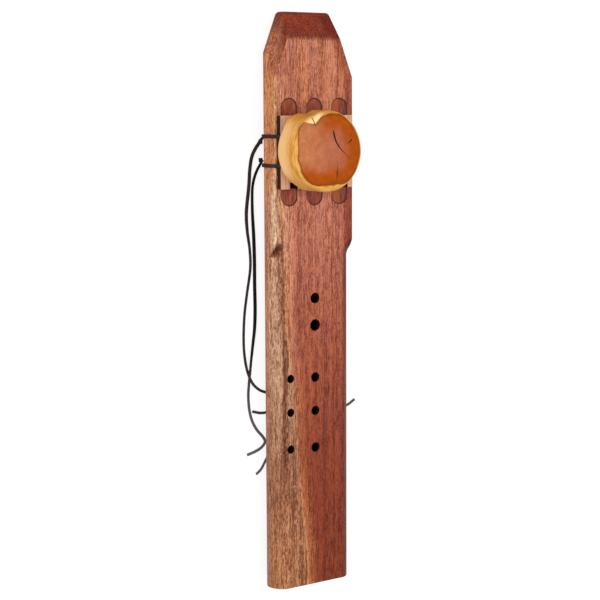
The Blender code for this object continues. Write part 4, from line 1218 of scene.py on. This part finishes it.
def branch_wood(name):
    """A slice of branch, sanded and wax polished: honey sapwood round rust heartwood with fine rings.

    The pattern's places are counted from the middle of the knob's face.
    """
    material, tree, shader = new_material(name, roughness=0.36, specular=0.02)
    place = add(tree, "TexCoord", [], output="Object")
    centre = at(KNOB_X, KNOB_Y, KNOB_Z + KNOB_HEIGHT)
    place = add(tree, "VectorMath", [place, tuple(centre)], operation="SUBTRACT")
    x, y, z = add(tree, "SeparateXYZ", [place]).node.outputs
    flat = add(tree, "CombineXYZ", [x, y, 0.0])
    turned_by = add(tree, "Math", [y, x], operation="ARCTAN2")
    wobble = add(tree, "TexNoise", {"Vector": place, "Scale": 140.0, "Detail": 3.0})
    wobble = add(tree, "MapRange", [wobble, 0.0, 1.0, -0.0014, 0.0014])
    inside = inside_heartwood(tree, flat, z, turned_by, wobble)
    heart = branch_heartwood(tree, place, x, y, inside, growth_rings(tree, place, flat, wobble))
    layers = streaks(tree, place, (70, 70, 420), 5.0, 0.65)
    layers = add(tree, "MapRange", [layers, 0.36, 0.64])
    in_heart = add(tree, "MapRange", [inside, -0.0003, 0.0003])
    tone = add(tree, "Mix", [in_heart, branch_sapwood(tree, x, y, z, layers), heart], data_type="RGBA")
    band = add(tree, "Math", [inside], operation="ABSOLUTE")
    band = add(tree, "MapRange", [band, 0.0004, 0.0018, 0.8, 0.0])
    tone = add(tree, "Mix", [band, tone, colour("#7E4418")], data_type="RGBA")
    link_finish(tree, shader, tone, layers, strength=0.08, depth=0.0002)
    return material


def dyed_leather(name, dark, light, end_greying):
    """Dark dyed calf lace: matt, with a pebbled grain about 0.6 mm across and rubbed edges.

    Down at its loose end it turns greyer.
    """
    material, tree, shader = new_material(name, roughness=0.65, specular=0.12)
    place = add(tree, "TexCoord", [], output="Object")
    pebble = add(tree, "TexVoronoi", {"Vector": place, "Scale": 1600.0})
    rub = add(tree, "TexNoise", {"Vector": place, "Scale": 300.0, "Detail": 4.0, "Roughness": 0.6})
    rub = add(tree, "MapRange", [rub, 0.35, 0.7])
    tone = add(tree, "Mix", [rub, colour(dark), colour(light)], data_type="RGBA")
    y = add(tree, "SeparateXYZ", [place], output="Y")
    loose = add(tree, "MapRange", [y, *from_foot(0.2500, 0.1650), 0.0, end_greying])
    tone = add(tree, "Mix", [loose, tone, colour("#6E6266")], data_type="RGBA")
    link_finish(tree, shader, tone, pebble, strength=0.5, depth=0.0002)
    return material


# Floor, backdrop light and lamps

# The floor's size, how far it lies below the laces and how strongly it glows to the camera, and how
# strongly the studio's walls light the flute
FLOOR_SIZE = 8
FLOOR_DROP = 0.0003
FLOOR_GLOW = 0.80
STUDIO_LIGHT = 0.55


def seen_by_camera(tree):
    """1 for what the camera sees, also in gloss or through glass, and 0 for light that falls on things."""
    path = add(tree, "LightPath", []).node.outputs
    seen = add(tree, "Math", [path["Is Camera Ray"], path["Is Glossy Ray"]], operation="ADD")
    return add(tree, "Math", [seen, path["Is Transmission Ray"]], operation="ADD")


def make_floor():
    """A pale seamless floor, which the camera sees as white with the flute's soft shadow on it."""
    select_nothing()
    bpy.ops.mesh.primitive_plane_add(size=FLOOR_SIZE, location=(0, 0, -FLOOR_DROP))
    floor = bpy.context.object
    floor.name = "studio_floor"
    material, tree, shader = new_material("matt white paper", roughness=0.9)
    shader.inputs["Base Color"].default_value = colour("#949494")
    seen = add(tree, "Math", [seen_by_camera(tree), FLOOR_GLOW], operation="MULTIPLY")
    glow = add(tree, "Emission", {"Color": (1, 1, 1, 1), "Strength": seen})
    both = add(tree, "AddShader", [shader.outputs[0], glow])
    tree.links.new(both, tree.nodes["Material Output"].inputs["Surface"])
    finish_with(floor, material)


def softbox(name, place, aim, width, height, power):
    lamp = bpy.data.lights.new(name, "AREA")
    lamp.shape = "RECTANGLE"
    lamp.size = width
    lamp.size_y = height
    lamp.energy = power
    box = bpy.data.objects.new(name, lamp)
    box.location = place
    box.rotation_euler = (Vector(aim) - Vector(place)).to_track_quat("-Z", "Y").to_euler()
    bpy.context.collection.objects.link(box)


def make_lights():
    """White studio walls, a low softbox beside the left edge and a broad one opposite the camera."""
    world = bpy.data.worlds.new("white studio")
    bpy.context.scene.world = world
    world.use_nodes = True
    tree = world.node_tree
    level = add(tree, "MapRange", [seen_by_camera(tree), 0.0, 1.0, STUDIO_LIGHT, 1.0])
    background = tree.nodes["Background"]
    background.inputs["Color"].default_value = (1, 1, 1, 1)
    tree.links.new(level, background.inputs["Strength"])
    softbox("left_softbox", place=(-1.45, 0.25, 0.80), aim=(0.0, 0.0, 0.03),
            width=1.0, height=1.4, power=15)
    softbox("right_softbox", place=(1.00, 0.15, 1.60), aim=(0.0, 0.05, 0.03),
            width=1.2, height=1.2, power=14)


def dress_carried_nodes(hidden_wood):
    """Gives the CAD pieces that stay in the scene their finish."""
    for node in ("left_plug", "middle_plug", "right_plug", "peg"):
        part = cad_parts[node]
        part.data.materials.clear()
        part.data.materials.append(hidden_wood)


make_camera()
leather = dyed_leather("dyed calf leather", "#1C1010", "#463032", 0.35)
black_leather = dyed_leather("black dyed calf leather", "#060203", "#181011", 0.90)
lace_end("upper_long_lace", UPPER_LONG_ROUTE, UPPER_WRAP_Y, leather, "upper_lace_long_tail",
         UPPER_LONG_CUT)
lace_end("lower_long_lace", LOWER_LONG_ROUTE, LOWER_WRAP_Y, black_leather, "lower_lace_long_tail",
         LOWER_LONG_CUT)
lace_end("upper_inner_lace", UPPER_INNER_ROUTE, UPPER_WRAP_Y, black_leather, "upper_lace_inner_tail",
         INNER_CUT)
lace_end("lower_inner_lace", LOWER_INNER_ROUTE, LOWER_WRAP_Y, black_leather, "lower_lace_inner_tail",
         INNER_CUT)
tie_band("upper_tie_band", UPPER_WRAP_Y + UPPER_TIE_OFFSET, leather, "upper_lace_wrap", UPPER_TIE_SHIFT)
tie_band("lower_tie_band", LOWER_WRAP_Y + LOWER_TIE_OFFSET, leather, "lower_lace_wrap", LOWER_TIE_SHIFT)
knot_offset = LACE_WIDTH / 2 + FIT_GAP + KNOT_RADIUS * KNOT_STRETCH
tie_knot("upper_tie_knot", UPPER_WRAP_Y - knot_offset, leather, "upper_lace_knot")
tie_knot("lower_tie_knot", LOWER_WRAP_Y + knot_offset, black_leather, "lower_lace_knot")
tie_link("tie_link", leather, "upper_lace_link")

# Near-black finish for the walls of holes, windows and notches: painted shade.
painted_hole_shade = bare_wood("wood painted dark as shade in holes", "#120503", "#2A0F08")
make_boards(body_wood("oiled redwood with sapwood", front=True), body_wood("oiled redwood", front=False),
            painted_hole_shade)
make_inlay("left", inlay_wood("oiled maroon wood, left", BORE_X["left"], "#662716", "#AC543A"), painted_hole_shade)
make_inlay("middle", inlay_wood("oiled maroon wood, middle", BORE_X["middle"], "#5A2014", "#9C4832"),
           painted_hole_shade)
make_inlay("right", inlay_wood("oiled maroon wood, right", BORE_X["right"], "#5A2114", "#9C4A33",
                               stripe=(0.034, 0.027)), painted_hole_shade)
rosewood = lined_wood("oiled dark rosewood", "#1C0704", "#38120B", across=500, along=18)
maple = lined_wood("sanded pale maple", "#C49070", "#E8BC9A", across=420, along=14)
block_layer("dark_block_base", BASE_Z, BASE_THICKNESS, BASE_EASE, rosewood, painted_hole_shade, "block_base_wood",
            "block_base")
block_layer("pale_block_plate", PLATE_Z, PLATE_THICKNESS, PLATE_EASE, maple, painted_hole_shade, "block_plate_wood",
            "block_plate")
make_knob(branch_wood("polished branch wood"), bare_wood("raw wood in a crack", "#4A2A26", "#7A4A40"))
dress_carried_nodes(lined_wood("sanded dowel wood", "#A8794E", "#C99C70", across=600, along=40))

make_floor()
make_lights()
bpy.context.scene.view_settings.view_transform = "Standard"
